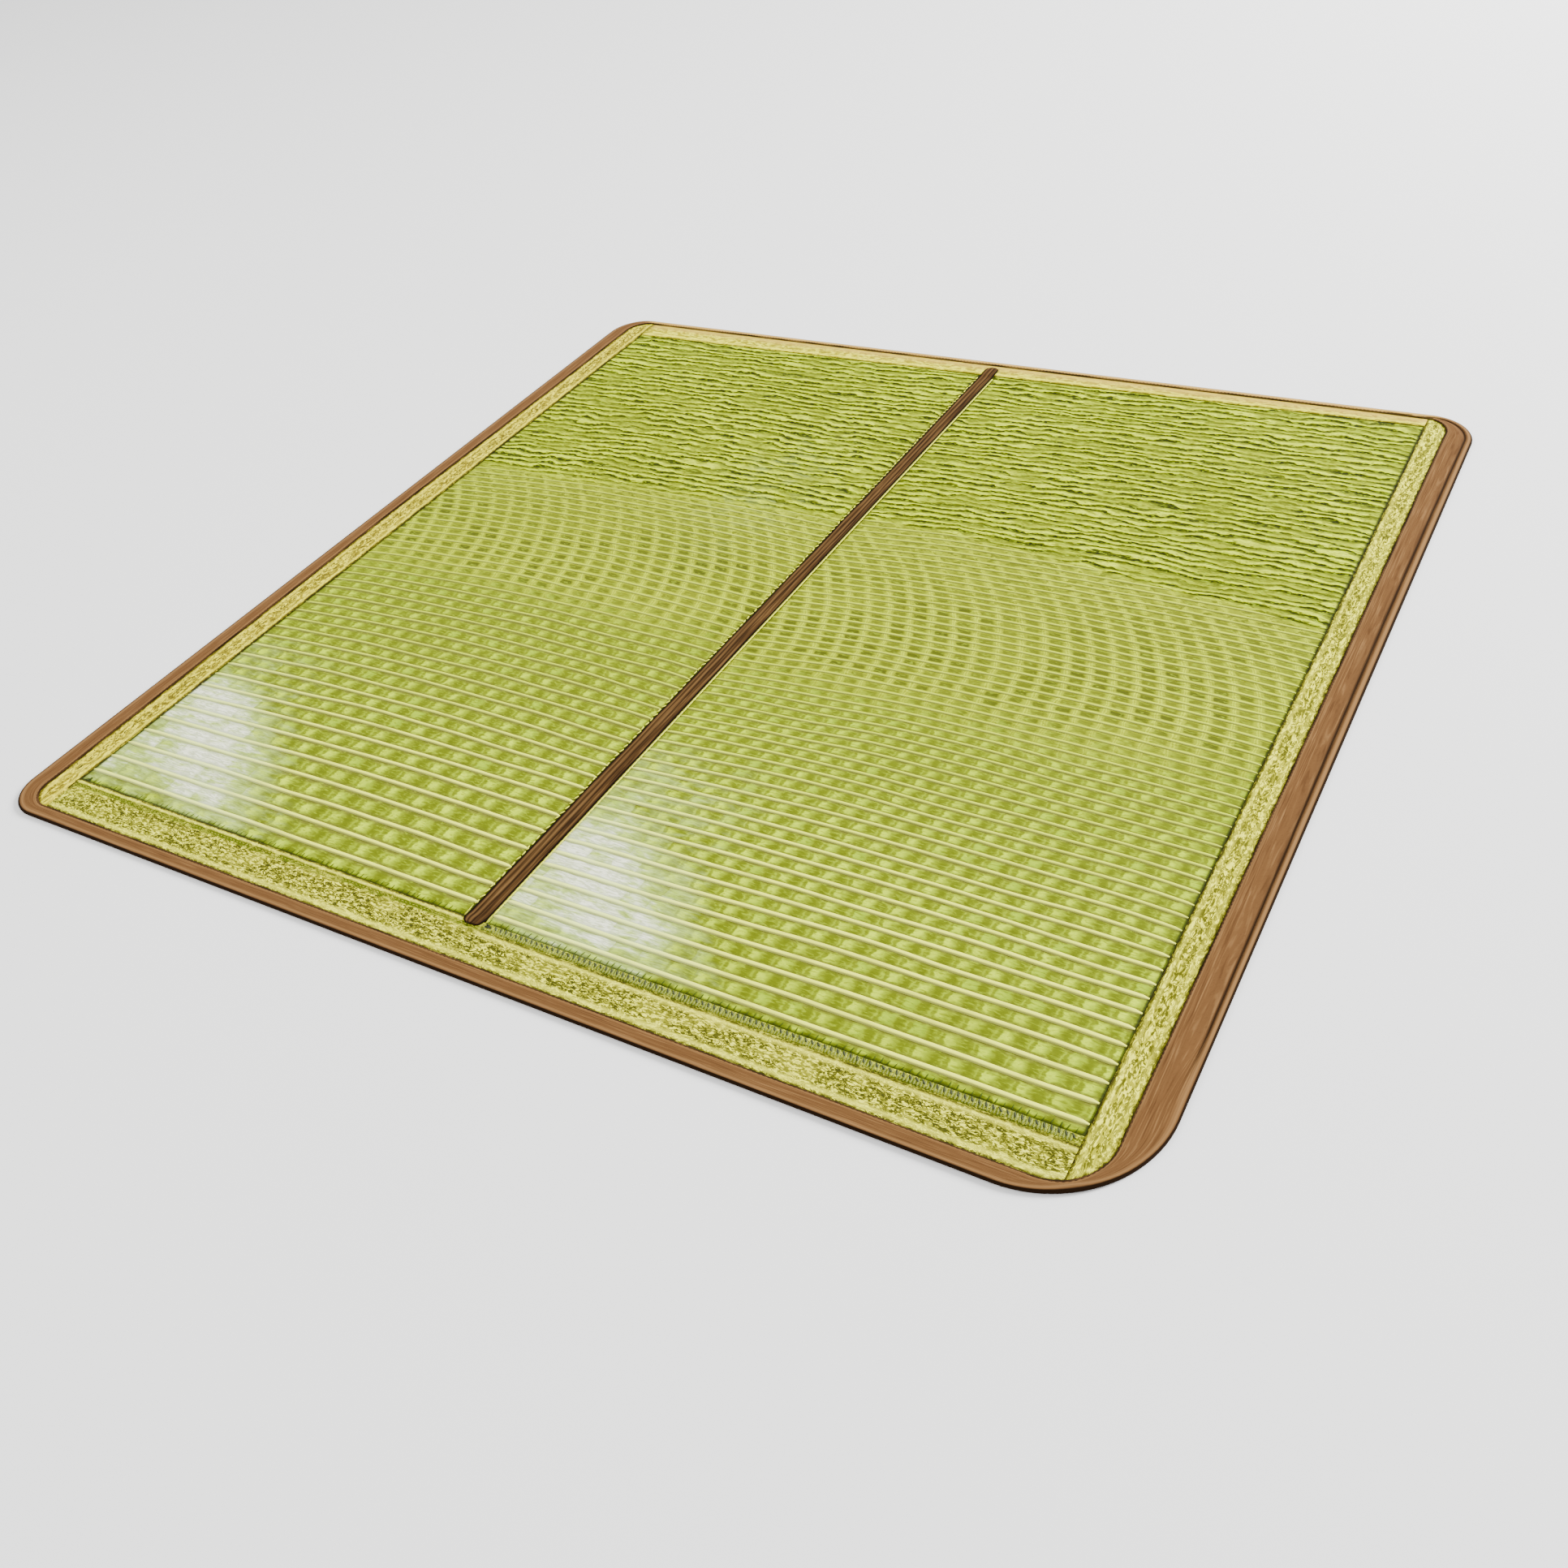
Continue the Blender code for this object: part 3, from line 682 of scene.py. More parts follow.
@dataclass(frozen=True)
class CreamCloth:
    """Slubbed cream cloth with curly olive flecks, with painted shade in its seams and painted highlights on
    its folds.
    """

    name: str
    run_scale: float
    across_scale: float
    flecked: float = 0.95
    cream: Colour = tint(0.250, 0.250, 0.012)
    # light: pale slubs, and the painted highlights on the folds.
    light: Colour = tint(0.900, 0.890, 0.060)
    fleck: Colour = tint(0.034, 0.036, 0.004)
    # seam: painted shade colour of the seams beside the raised tape and at the hem's edge.
    seam: Colour = tint(0.020, 0.014, 0.003)
    # other: olive of the front's painted shade band under the hem and of the overlock's ground; the back
    # border gives it a tan.
    other: Colour = tint(0.092, 0.128, 0.003)
    clear: float = 0.42

    def material(self) -> bpy.types.Material:
        """Build the finish from the strip's own map, which runs along the strip in metres.

        Returns:
            The material.
        """
        recipe = Recipe(self.name)
        run, across = recipe.map("strip")
        shade, pale, other = recipe.attribute("edges")
        place = recipe.pair(run, across)
        slubs = recipe.grain(self.run_scale * 1.2, self.across_scale * 1.5, 2.0, 0.9, place)
        curls = recipe.grain(self.run_scale, self.across_scale, 1.5, 1.8, place)
        breaks = recipe.grain(90.0, 150.0, 1.0, where=place)
        drift = recipe.grain(14.0, 34.0, 2.0, where=place)
        colour = recipe.colour(recipe.ease(slubs, 0.45, 0.57), self.cream, self.light)
        dark = recipe.times(recipe.pulse(curls, (0.40, 0.44), (0.555, 0.60)),
                            recipe.ease(breaks, 0.38, 0.47, 0.10, 1.0),
                            recipe.ease(drift, 0.34, 0.52, self.clear * self.flecked, self.flecked))
        colour = recipe.colour(dark, colour, self.fleck)
        # Painted highlights on the folds.
        colour = recipe.colour(recipe.times(pale, 0.75), colour, self.light)
        colour = recipe.colour(other, colour, self.other)
        # Painted shade in the seams.
        colour = recipe.colour(shade, colour, self.seam)
        threads = recipe.calc("SINE", recipe.times(across, 4200.0))
        height = recipe.calc("MULTIPLY_ADD", threads, 0.12, recipe.calc("SUBTRACT", slubs, dark))
        return recipe.finish(colour, 0.9, recipe.bump(height, 0.0009, 0.8), 0.06)


@dataclass(frozen=True)
class TapeFinish:
    """Ribbed brown tape, darker along its folded edges: painted shade on the binding's and the centre
    strip's folds, groove and furrows, and painted highlights on their ridges.
    """

    name: str = "binding_tape"
    brown: Colour = tint(0.128, 0.060, 0.020)
    light: Colour = tint(0.260, 0.138, 0.050)
    dark: Colour = tint(0.062, 0.026, 0.008)
    # edge: painted shade colour of the folded edges, the groove and the furrows.
    edge: Colour = tint(0.010, 0.004, 0.001)
    ribs: float = 2600.0
    streaks: tuple = (14.0, 420.0)
    streaked: float = 0.55
    faded: Colour = tint(0.600, 0.370, 0.090)

    def material(self) -> bpy.types.Material:
        """Build the finish from the tape's own map, which runs along the tape in metres.

        Returns:
            The material.
        """
        recipe = Recipe(self.name)
        run, across = recipe.map("strip")
        darkening, pale, faded = recipe.attribute("darkening")
        place = recipe.pair(run, across)
        streaks = recipe.grain(*self.streaks, 3.0, 0.6, place)
        grain = recipe.grain(240.0, 900.0, 2.0, where=place)
        ribs = recipe.calc("SINE", recipe.times(across, self.ribs))
        colour = recipe.colour(recipe.ease(streaks, 0.50, 0.70, 0.0, self.streaked), self.brown, self.light)
        colour = recipe.colour(recipe.ease(streaks, 0.47, 0.32, 0.0, self.streaked), colour, self.dark)
        colour = recipe.colour(recipe.ease(grain, 0.5, 0.8, 0.0, 0.3), colour, self.dark)
        # Painted highlights on the pressed ridges.
        colour = recipe.colour(recipe.times(pale, 0.75), colour, self.light)
        colour = recipe.colour(faded, colour, self.faded)
        # Painted shade along the folded edges, in the groove and in the furrows; the straps only turn darker
        # at their edges.
        colour = recipe.colour(darkening, colour, self.edge)
        height = recipe.calc("MULTIPLY_ADD", ribs, 0.25, streaks)
        return recipe.finish(colour, 0.9, recipe.bump(height, 0.0005, 0.6), 0.05)


@dataclass(frozen=True)
class ThreadFinish:
    """Twisted sewing thread."""

    name: str
    body: Colour
    shade: Colour

    def material(self) -> bpy.types.Material:
        """Build the finish on the thread's place.

        Returns:
            The material.
        """
        recipe = Recipe(self.name)
        twist = recipe.noise(recipe.place(recipe.coordinates, 900.0, 900.0, 400.0), 1.0, 1.0)
        colour = recipe.colour(recipe.ease(twist, 0.35, 0.7), self.shade, self.body)
        return recipe.finish(colour, 0.7, recipe.bump(twist, 0.0002, 0.4), 0.15)


@dataclass(frozen=True)
class FloorFinish:
    """Plain pale floor."""

    pale: Colour = tint(0.93, 0.93, 0.925)

    def material(self) -> bpy.types.Material:
        """Build the floor's paint with the faintest mottle.

        Returns:
            The material.
        """
        recipe = Recipe("pale_floor")
        mottle = recipe.noise(recipe.coordinates, 1.5, 1.0)
        colour = recipe.colour(recipe.ease(mottle, 0.3, 0.8, 0.0, 0.02), self.pale, tint(0.7, 0.7, 0.7))
        return recipe.finish(colour, 0.95, recipe.bump(mottle, 0.0001, 0.1), 0.0)


class Finish(Enum):
    """The finishes that pieces are dressed in."""

    WEAVE_FACE = WeaveFace()
    WEAVE_UNDERSIDE = WeaveUnderside()
    CORD = CordFinish()
    CREAM_FRONT = CreamCloth("cream_cloth_front", 85.0, 170.0)
    CREAM_RIGHT = CreamCloth("cream_cloth_right", 52.0, 130.0, 0.86, tint(0.380, 0.370, 0.010),
                             tint(0.950, 0.930, 0.050), clear=0.85)
    CREAM_BACK = CreamCloth("cream_cloth_back", 45.0, 90.0, 0.28, tint(0.380, 0.340, 0.006),
                            tint(0.900, 0.850, 0.030), other=tint(0.520, 0.320, 0.060))
    CREAM_LEFT = CreamCloth("cream_cloth_left", 60.0, 105.0, 0.80, tint(0.360, 0.300, 0.008),
                            tint(0.900, 0.790, 0.030), tint(0.070, 0.048, 0.008))
    CREAM_UNDER = CreamCloth("cream_cloth_under", 70.0, 110.0, 0.6)
    TAPE = TapeFinish()
    SPINE = TapeFinish("centre_strip_tape", tint(0.058, 0.028, 0.008), tint(0.150, 0.080, 0.026),
                       tint(0.018, 0.008, 0.003), tint(0.005, 0.002, 0.001), 1500.0, (9.0, 200.0), 0.9)
    ELASTIC = TapeFinish("elastic_webbing", tint(0.053, 0.014, 0.003), tint(0.093, 0.033, 0.010),
                         tint(0.030, 0.009, 0.002), tint(0.014, 0.005, 0.001), 3100.0, (60.0, 240.0), 0.35)
    BROWN_THREAD = ThreadFinish("brown_thread", tint(0.080, 0.034, 0.009), tint(0.020, 0.008, 0.002))
    CREAM_THREAD = ThreadFinish("cream_thread", tint(0.900, 0.860, 0.090), tint(0.220, 0.200, 0.010))
    SELVEDGE_THREAD = ThreadFinish("selvedge_thread", tint(0.880, 0.900, 0.060), tint(0.420, 0.440, 0.020))
    GREEN_THREAD = ThreadFinish("green_thread", tint(0.300, 0.350, 0.050), tint(0.130, 0.160, 0.020))
    DARK_THREAD = ThreadFinish("dark_thread", tint(0.075, 0.088, 0.032), tint(0.030, 0.036, 0.014))
    OLIVE_THREAD = ThreadFinish("olive_thread", tint(0.060, 0.095, 0.003), tint(0.030, 0.048, 0.002))
    FLOOR = FloorFinish()


class Wardrobe:
    """Makes each finish's material once and hands it out."""

    def __init__(self) -> None:
        """Start with nothing made."""
        self.made: dict[Finish, bpy.types.Material] = {}

    def dress(self, piece: Piece, *finishes: Finish) -> None:
        """Dress a piece.

        Args:
            piece: The piece.
            *finishes: Its finishes, one in each material slot.
        """
        for finish in finishes:
            if finish not in self.made:
                self.made[finish] = finish.value.material()
            piece.data.materials.append(self.made[finish])


WARDROBE = Wardrobe()


@contextmanager
def edited(mesh: bpy.types.Mesh) -> Iterator[bmesh.types.BMesh]:
    """Open a mesh to bmesh's operators, and write it back.

    Args:
        mesh: The mesh, empty or not.

    Yields:
        The open mesh.
    """
    bm = bmesh.new()
    bm.from_mesh(mesh)
    yield bm
    bm.to_mesh(mesh)
    bm.free()


def into_scene(name: str, data: bpy.types.ID) -> Piece:
    """Put a mesh, a light or a camera into the scene.

    Args:
        name: The object's name.
        data: What it shows.

    Returns:
        The object.
    """
    thing = bpy.data.objects.new(name, data)
    bpy.context.scene.collection.objects.link(thing)
    return thing


@dataclass
class Grid:
    """A rectangular net of points that starts as a bmesh grid and is then laid out by a formula."""

    name: str
    columns: int
    lines: int

    def __post_init__(self) -> None:
        """Make the flat grid and read which column and line each point is on."""
        self.mesh = bpy.data.meshes.new(self.name)
        with edited(self.mesh) as bm:
            bmesh.ops.create_grid(bm, x_segments=self.columns, y_segments=self.lines, size=0.5)
        flat = np.zeros(len(self.mesh.vertices) * 3)
        self.mesh.vertices.foreach_get("co", flat)
        flat = flat.reshape(-1, 3)
        self.column = np.rint((flat[:, 0] + 0.5) * self.columns).astype(int)
        self.line = np.rint((flat[:, 1] + 0.5) * self.lines).astype(int)

    def lay(self, points: Array) -> None:
        """Put the grid's points in place."""
        self.mesh.vertices.foreach_set("co", points.astype(np.float32).ravel())

    def corners(self) -> tuple[Array, Array]:
        """Read the corners of the faces.

        Returns:
            The point of each face corner, and the lowest line of its face.
        """
        points = np.zeros(len(self.mesh.loops), np.int32)
        self.mesh.loops.foreach_get("vertex_index", points)
        return points, np.repeat(self.line[points].reshape(-1, 4).min(axis=1), 4)

    def add_map(self, name: str, first: Array, second: Array) -> None:
        """Give the mesh a UV map with one pair of numbers for each face corner."""
        layer = self.mesh.uv_layers.new(name=name)
        layer.data.foreach_set("uv", np.stack([first, second], axis=-1).astype(np.float32).ravel())

    def add_numbers(self, name: str, *numbers: Array) -> None:
        """Give the mesh an attribute of three numbers for each point.

        Args:
            name: The attribute's name.
            *numbers: Up to three sets of numbers. The rest are 0.
        """
        columns = [np.broadcast_to(number, self.column.shape) for number in numbers]
        columns += [np.zeros(self.column.shape)] * (3 - len(columns))
        attribute = self.mesh.attributes.new(name, "FLOAT_VECTOR", "POINT")
        attribute.data.foreach_set("vector", np.stack(columns, axis=-1).astype(np.float32).ravel())

    def close(self, weld: float = 1e-6) -> None:
        """Weld the seams of a grid that is wrapped round, and close its open ends.

        Args:
            weld: Points that are this close become one.
        """
        with edited(self.mesh) as bm:
            bmesh.ops.remove_doubles(bm, verts=bm.verts, dist=weld)
            bmesh.ops.holes_fill(bm, edges=[edge for edge in bm.edges if edge.is_boundary], sides=0)
            bmesh.ops.recalc_face_normals(bm, faces=bm.faces)

    def face(self, up: bool) -> None:
        """Turn the faces of an open sheet.

        Args:
            up: Whether they are to look up.
        """
        with edited(self.mesh) as bm:
            bm.normal_update()
            if (sum(polygon.normal.z for polygon in bm.faces) > 0) is not up:
                bmesh.ops.reverse_faces(bm, faces=bm.faces)


def show(name: str, mesh: bpy.types.Mesh, slot: str, *finishes: Finish) -> Piece:
    """Link a mesh into the scene as a dressed piece that rides on the mat.

    Args:
        name: The piece's name.
        mesh: Its mesh, in place.
        slot: The record's material slot. Not used.
        *finishes: Its finishes, one in each material slot.

    Returns:
        The piece.
    """
    mesh.name = name
    piece = into_scene(name, mesh)
    mesh.materials.clear()
    WARDROBE.dress(piece, *finishes)
    mesh.shade_smooth()
    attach(piece, BODY)
    return piece


def thicken(piece: Piece, thickness: float) -> None:
    """Thicken an open cloth behind its face.

    Args:
        piece: The cloth.
        thickness: How thick it becomes.
    """
    wall = piece.modifiers.new("Cloth", "SOLIDIFY")
    wall.thickness = thickness
    wall.offset = -1.0


def spaced_along(line: Array, pitch: float, closed: bool = False) -> tuple[Array, Array]:
    """Walk along a line at an even pitch.

    Args:
        line: Points of the line, one in each row.
        pitch: Distance between places.
        closed: Whether the line runs back to its first point.

    Returns:
        The places, and the heading at each in radians.
    """
    if closed:
        line = np.vstack([line, line[:1]])
    steps = np.linalg.norm(np.diff(line, axis=0), axis=1)
    run = np.concatenate([[0.0], np.cumsum(steps)])
    wanted = np.arange(pitch / 2, run[-1], pitch)
    here, ahead, back = (
        np.stack([np.interp(wanted + shift, run, line[:, axis]) for axis in range(2)], axis=-1)
        for shift in (0.0, pitch / 4, -pitch / 4))
    return here, np.arctan2(ahead[:, 1] - back[:, 1], ahead[:, 0] - back[:, 0])


@dataclass
class StitchRun:
    """A run of many small stitches that are joined in one mesh."""

    name: str
    slot: str
    finish: Finish
    length: float = 0.0042
    width: float = 0.0011
    height: float = 0.0009

    def sew(self, places: Array, headings: Array) -> Piece:
        """Set one stitch at each place.

        Args:
            places: The stitches' middles, one point in each row.
            headings: Angles of the stitches about the vertical, in radians.

        Returns:
            The joined stitches.
        """
        size = Matrix.Diagonal((self.length / 2, self.width / 2, self.height / 2, 1.0))
        single, mesh = (bpy.data.meshes.new(self.name + end) for end in ("_one", ""))
        with edited(mesh) as bm:
            bmesh.ops.create_uvsphere(bm, u_segments=4, v_segments=6, radius=1.0,
                                      matrix=size @ Matrix.Rotation(math.pi / 2, 4, "Y"))
            bm.to_mesh(single)
            for _ in range(len(places) - 1):
                bm.from_mesh(single)
        count = len(single.vertices)
        bpy.data.meshes.remove(single)
        points = np.zeros(len(mesh.vertices) * 3)
        mesh.vertices.foreach_get("co", points)
        points = points.reshape(len(places), count, 3)
        turn_x, turn_y = np.cos(headings)[:, None], np.sin(headings)[:, None]
        turned = np.stack([points[..., 0] * turn_x - points[..., 1] * turn_y,
                           points[..., 0] * turn_y + points[..., 1] * turn_x, points[..., 2]], axis=-1)
        turned += places[:, None, :]
        mesh.vertices.foreach_set("co", turned.astype(np.float32).ravel())
        return show(self.name, mesh, self.slot, self.finish)


@dataclass(frozen=True)
class PanelTraits:
    """What differs between the panels: seeds, the rows' rise, zones, pitches and the painted reflection
    patch.
    """

    seeds: tuple[int, ...]
    rise: float
    rise_middle: float
    lattice: tuple[float, float]
    wrinkle_line: tuple[float, float, float, float]
    wrinkle_softness: float
    front_pitch: float
    back_pitch: float
    # Shape of the painted reflection patch, how much it dims further inside, and the painted sheen further
    # back.
    patch_reach: float
    patch_slope: float
    patch_depth: float
    patch_top: float
    patch_dimming: float
    back_haze: float


TRAITS = {
    Side.LEFT: PanelTraits(
        seeds=(11, 31, 41, 47, 59, 67), rise=0.011, rise_middle=0.34, lattice=(0.78, 0.92),
        wrinkle_line=(1.225, 0.035, 0.1, 0.9), wrinkle_softness=0.030,
        front_pitch=0.060, back_pitch=0.045, back_haze=0.13,
        patch_reach=0.112, patch_slope=0.83, patch_depth=0.404, patch_top=0.43, patch_dimming=1.0),
    Side.RIGHT: PanelTraits(
        seeds=(23, 37, 43, 53, 61, 71), rise=0.008, rise_middle=0.26, lattice=(0.68, 0.84),
        wrinkle_line=(1.272, -0.070, 1.20, 1.88), wrinkle_softness=0.005,
        front_pitch=0.047, back_pitch=0.040, back_haze=0.0,
        patch_reach=0.073, patch_slope=0.85, patch_depth=0.370, patch_top=0.39, patch_dimming=0.70)}


@dataclass
class WovenPanel:
    """One half of the mat: a woven slab with relief on its face, and its pale cords."""

    side: Side
    turn_in: float = 0.028
    field_columns: int = 108
    edge_columns: tuple = (0.0020, 0.0042, 0.0080)
    ease_in: float = 0.006
    line_step: float = 0.0037
    wrinkle_step: float = 0.0021
    under_columns: int = 72
    under_lines: int = 150
    under_pitch: float = 0.030
    under_depth: float = 0.0005
    strap_room: tuple = (0.036, 0.020)
    fine_lines_from: float = 1.18
    hem_step: float = 0.0014
    flatter_share: float = 0.42
    float_ground: float = 0.00030
    float_height: float = 0.00090
    lattice_height: float = 0.00075
    dash_depth: float = 0.00065
    fold_ground: float = 0.0002
    fold_height: float = 0.0021
    swell_height: float = 0.0003
    cord_steps: int = 96
    cord_sides: int = 6
    cord_gap: float = 0.0012
    cord_half_width: float = 0.0049
    cord_half_height: float = 0.0011
    last_cord: float = 1.30

    def __post_init__(self) -> None:
        """Work out the rows, their random shifts and the folds of the wrinkled part."""
        self.traits = TRAITS[self.side]
        self.cords = PLAN.cords(self.side)
        first, last = self.cords[1] - self.cords[0], self.cords[-1] - self.cords[-2]
        self.row_places = np.concatenate([[self.cords[0] - first], self.cords, [self.cords[-1] + last]])
        shift, sway, shiver, fading, swell, drift = self.traits.seeds
        self.row_shift = np.random.default_rng(shift).uniform(-0.5, 0.5, len(self.cords) + 2)
        self.sway = Unevenness(sway, 0.190, 0.060)
        self.shiver = Unevenness(shiver, 0.034, 0.017)
        self.fading = Unevenness(fading, 0.048, 1.0)
        self.swell = Unevenness(swell, 0.40, 0.34)
        self.drift = Unevenness(drift, 0.150, 0.055)

    def phase(self, along: Array) -> Array:
        """Return how many rows lie in front of a place: whole numbers fall on the cords."""
        return np.interp(along, self.row_places, np.arange(len(self.row_places)))

    def lines(self) -> Array:
        """Set the face's lines, closer where the weave wrinkles.

        Returns:
            Places along the mat, from front to back.
        """
        edges = np.concatenate([[PLAN.field_front], self.cords, [PLAN.field_back_at_left]])
        places = []
        for near, far in zip(edges[:-1], edges[1:]):
            step = self.wrinkle_step if near > self.fine_lines_from else self.line_step
            count = max(2, round((far - near) / step))
            places += [near + (far - near) * number / count for number in range(count)]
        rims = [PLAN.field_front - self.turn_in, PLAN.field_front - self.turn_in / 2]
        hems = [PLAN.field_front + self.hem_step, PLAN.field_back_at_left - self.hem_step]
        ends = [PLAN.field_back_at_left, PLAN.field_back_at_left + self.turn_in / 2,
                PLAN.field_back_at_left + self.turn_in]
        return np.array(sorted(rims + places + hems + ends))

    def column_shares(self) -> Array:
        """Set the face's columns, closer along both sides.

        Returns:
            Shares of the field, below 0 and above 1 on the rims.
        """
        width = PLAN.strip_front_across - PLAN.strip_width / 2 - PLAN.field_left
        near = np.array(self.edge_columns) / width
        middle = np.linspace(near[-1], 1 - near[-1], self.field_columns - 5)[1:-1]
        rim = np.array([1.0, 0.5]) * self.turn_in / width
        return np.concatenate([-rim, [0.0], near, middle, 1 - near[::-1], [1.0], 1 + rim[::-1]])

    def row_line(self, place: Array, across: Array, share: Array) -> Array:
        """Return where a row runs: as planned, but a little wavy between the borders.

        Args:
            place: The row's place at the panel's middle, before it fans out.
            across: Places across the mat.
            share: The same places as shares of the panel, from -1 to 1.

        Returns:
            Places along the mat.
        """
        depth = PLAN.field_back_at_left - PLAN.field_front
        part = (place - PLAN.field_front) / depth
        wave = mix(0.0022, 0.0034, smooth(0.35, 0.75, place)) * self.drift.at(across, place)
        flatter = self.flatter_share * PLAN.row_bow * np.sin(math.pi * part) * np.maximum(share, 0.0) ** 2
        rise = self.traits.rise * smooth(-0.65, 0.35, share)
        flatter += rise * bell(self.traits.rise_middle, 0.10, place)
        to_border = depth * np.minimum(part, 1 - part)
        return PLAN.row_place(place, across, share) + flatter + wave * smooth(0.0, 0.06, to_border)

    def wrinkle_start(self, across: Array) -> Array:
        """Return how far along the wrinkled part starts at places across the mat."""
        start, change, low, high = self.traits.wrinkle_line
        return start + change * smooth(low, high, across)

    def zones(self, across: Array, along: Array) -> tuple[Array, Array, Array]:
        """Share the face out among its kinds of weave.

        Args:
            across: Places across the mat.
            along: Places along the mat.

        Returns:
            How much of the lattice, the wrinkles and the painted reflection shows at each place.
        """
        lattice = smooth(*self.traits.lattice, along + 0.06 * self.swell.at(across, along))
        start, softness = self.wrinkle_start(across), self.traits.wrinkle_softness
        wrinkle = smooth(start - softness, start + softness, along + 0.012 * self.sway.at(across, along))
        return lattice, wrinkle, self.reflection_patch(across, along)

    def reflection_patch(self, across: Array, along: Array) -> Array:
        """Find where a painted reflection lies on the weave: a slanting pale patch at the panel's front
        left, with a fainter painted sheen near the front and near side.

        Args:
            across: Places across the mat.
            along: Places along the mat.

        Returns:
            How strong the painted reflection is at each place, from 0 to 1.
        """
        traits = self.traits
        near, _ = PLAN.panel_edges(self.side, along)
        inward = across - near
        reach = traits.patch_reach + traits.patch_slope * (traits.patch_depth - along)
        inside = reach - inward + 0.022 * self.sway.at(across * 1.7, along)
        top = smooth(traits.patch_top + 0.07, traits.patch_top - 0.08, along)
        bright = smooth(-0.170, 0.070, inside) * top
        # The painted reflection dims further inside the patch.
        bright *= 1 - 0.40 * smooth(0.09, 0.24, inside) * traits.patch_dimming
        bright *= mix(0.55, 1.0, smooth(0.112, 0.165, along))
        # A fainter painted sheen near the panel's front and near side, and on the left panel a patch further
        # back.
        sheen = 0.40 * smooth(0.62, 0.38, along) * smooth(0.34, 0.04, inward)
        sheen = sheen + traits.back_haze * bell(0.77, 0.14, across) * bell(1.32, 0.26, along)
        return np.clip(np.maximum(bright, sheen), 0.0, 1.0)

    def column_phase(self, across: Array, along: Array) -> Array:
        """Count the columns of the weave, which lean a little and more towards the back.

        Args:
            across: Places across the mat.
            along: Places along the mat.

        Returns:
            How many columns lie to the left of each place.
        """
        pitch = mix(self.traits.back_pitch, self.traits.front_pitch, smooth(0.80, 0.10, along))
        lean = 0.10 * np.maximum(along - 0.55, 0.0) + 1.05 * np.maximum(along - 0.85, 0.0) ** 2
        return (across + lean + 0.006 * self.swell.at(across, along)) / pitch

    def row_middle(self, row: Array) -> Array:
        """Return the place of a row's middle: the inverse of the phase, half a row on."""
        return np.interp(row + 0.5, np.arange(len(self.row_places)), self.row_places)

    def columns_at(self, across: Array, phase: Array, row: Array) -> Array:
        """Count the columns in a place's own row, so that the cells in front stand upright.

        Args:
            across: Places across the mat.
            phase: How many rows lie in front of each place.
            row: The row that each place is in.

        Returns:
            How many columns lie to the left of each place.
        """
        place = self.row_middle(phase - 0.5)
        upright = mix(self.row_middle(row), place, smooth(0.60, 0.90, place))
        return self.column_phase(across, upright) + self.stagger(row)

    def stagger(self, row: Array) -> Array:
        """Shift each row's columns: like bricks in front, in line further back.

        Args:
            row: Numbers of rows.

        Returns:
            How far each row is shifted, in columns.
        """
        row = np.clip(row.astype(int), 0, len(self.cords) + 1)
        along = np.interp(row, np.arange(1, len(self.cords) + 1), self.cords)
        return (0.5 * (row % 2) + 0.35 * self.row_shift[row]) * smooth(0.92, 0.60, along)

    def fold(self, across: Array, along: Array, phase: Array) -> tuple[Array, Array]:
        """Fold the wrinkled part.

        Args:
            across: Places across the mat.
            along: Places along the mat.
            phase: How many rows lie in front of each place.

        Returns:
            The fold phase, whose whole numbers are creases, and how deep the folds are.
        """
        folded = phase * 1.04 + 0.42 * self.sway.at(across, along) + 0.34 * self.shiver.at(across, along)
        row = np.floor(folded)
        fade = self.fading.at(across + 0.37 * row, row * 0.61)
        return folded, 0.30 + 0.70 * smooth(-0.55, 0.30, fade)

    def relief(self, across: Array, along: Array, phase: Array) -> Array:
        """Raise the woven face above the slab.

        Args:
            across: Places across the mat.
            along: Places along the mat.
            phase: How many rows lie in front of each place.

        Returns:
            How high the face stands at each place.
        """
        lattice, wrinkle, _ = self.zones(across, along)
        band, row = phase % 1.0, np.floor(phase)
        cell = (self.columns_at(across, phase, row) + 0.08) % 1.0
        pillow = np.sin(math.pi * band) ** 0.6
        raised = smooth(0.14, 0.34, cell) * smooth(0.95, 0.45, cell)
        front = pillow * (self.float_ground + self.float_height * raised)
        dash = smooth(0.14, 0.30, cell) * smooth(0.90, 0.72, cell)
        middle = pillow * (self.lattice_height - self.dash_depth * dash)
        fold, depth = self.fold(across, along, phase)
        place = fold % 1.0
        ridge = smooth(0.02, 0.24, place) * (1 - 0.94 * smooth(0.20, 1.0, place))
        back = self.fold_ground + self.fold_height * ridge * depth
        woven = mix(mix(front, middle, lattice), back, wrinkle)
        return woven + self.swell_height * (1 + self.swell.at(across, along))

    def build(self) -> list[Piece]:
        """Build the slab and its cords.

        Returns:
            The two pieces.
        """
        slab = self.build_slab()
        cords = self.build_cords()
        node = f"{self.side.value}_panel"
        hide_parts(node)
        near, far = PLAN.panel_edges(self.side, np.array([PLAN.length / 2]))
        return [slab, cords]

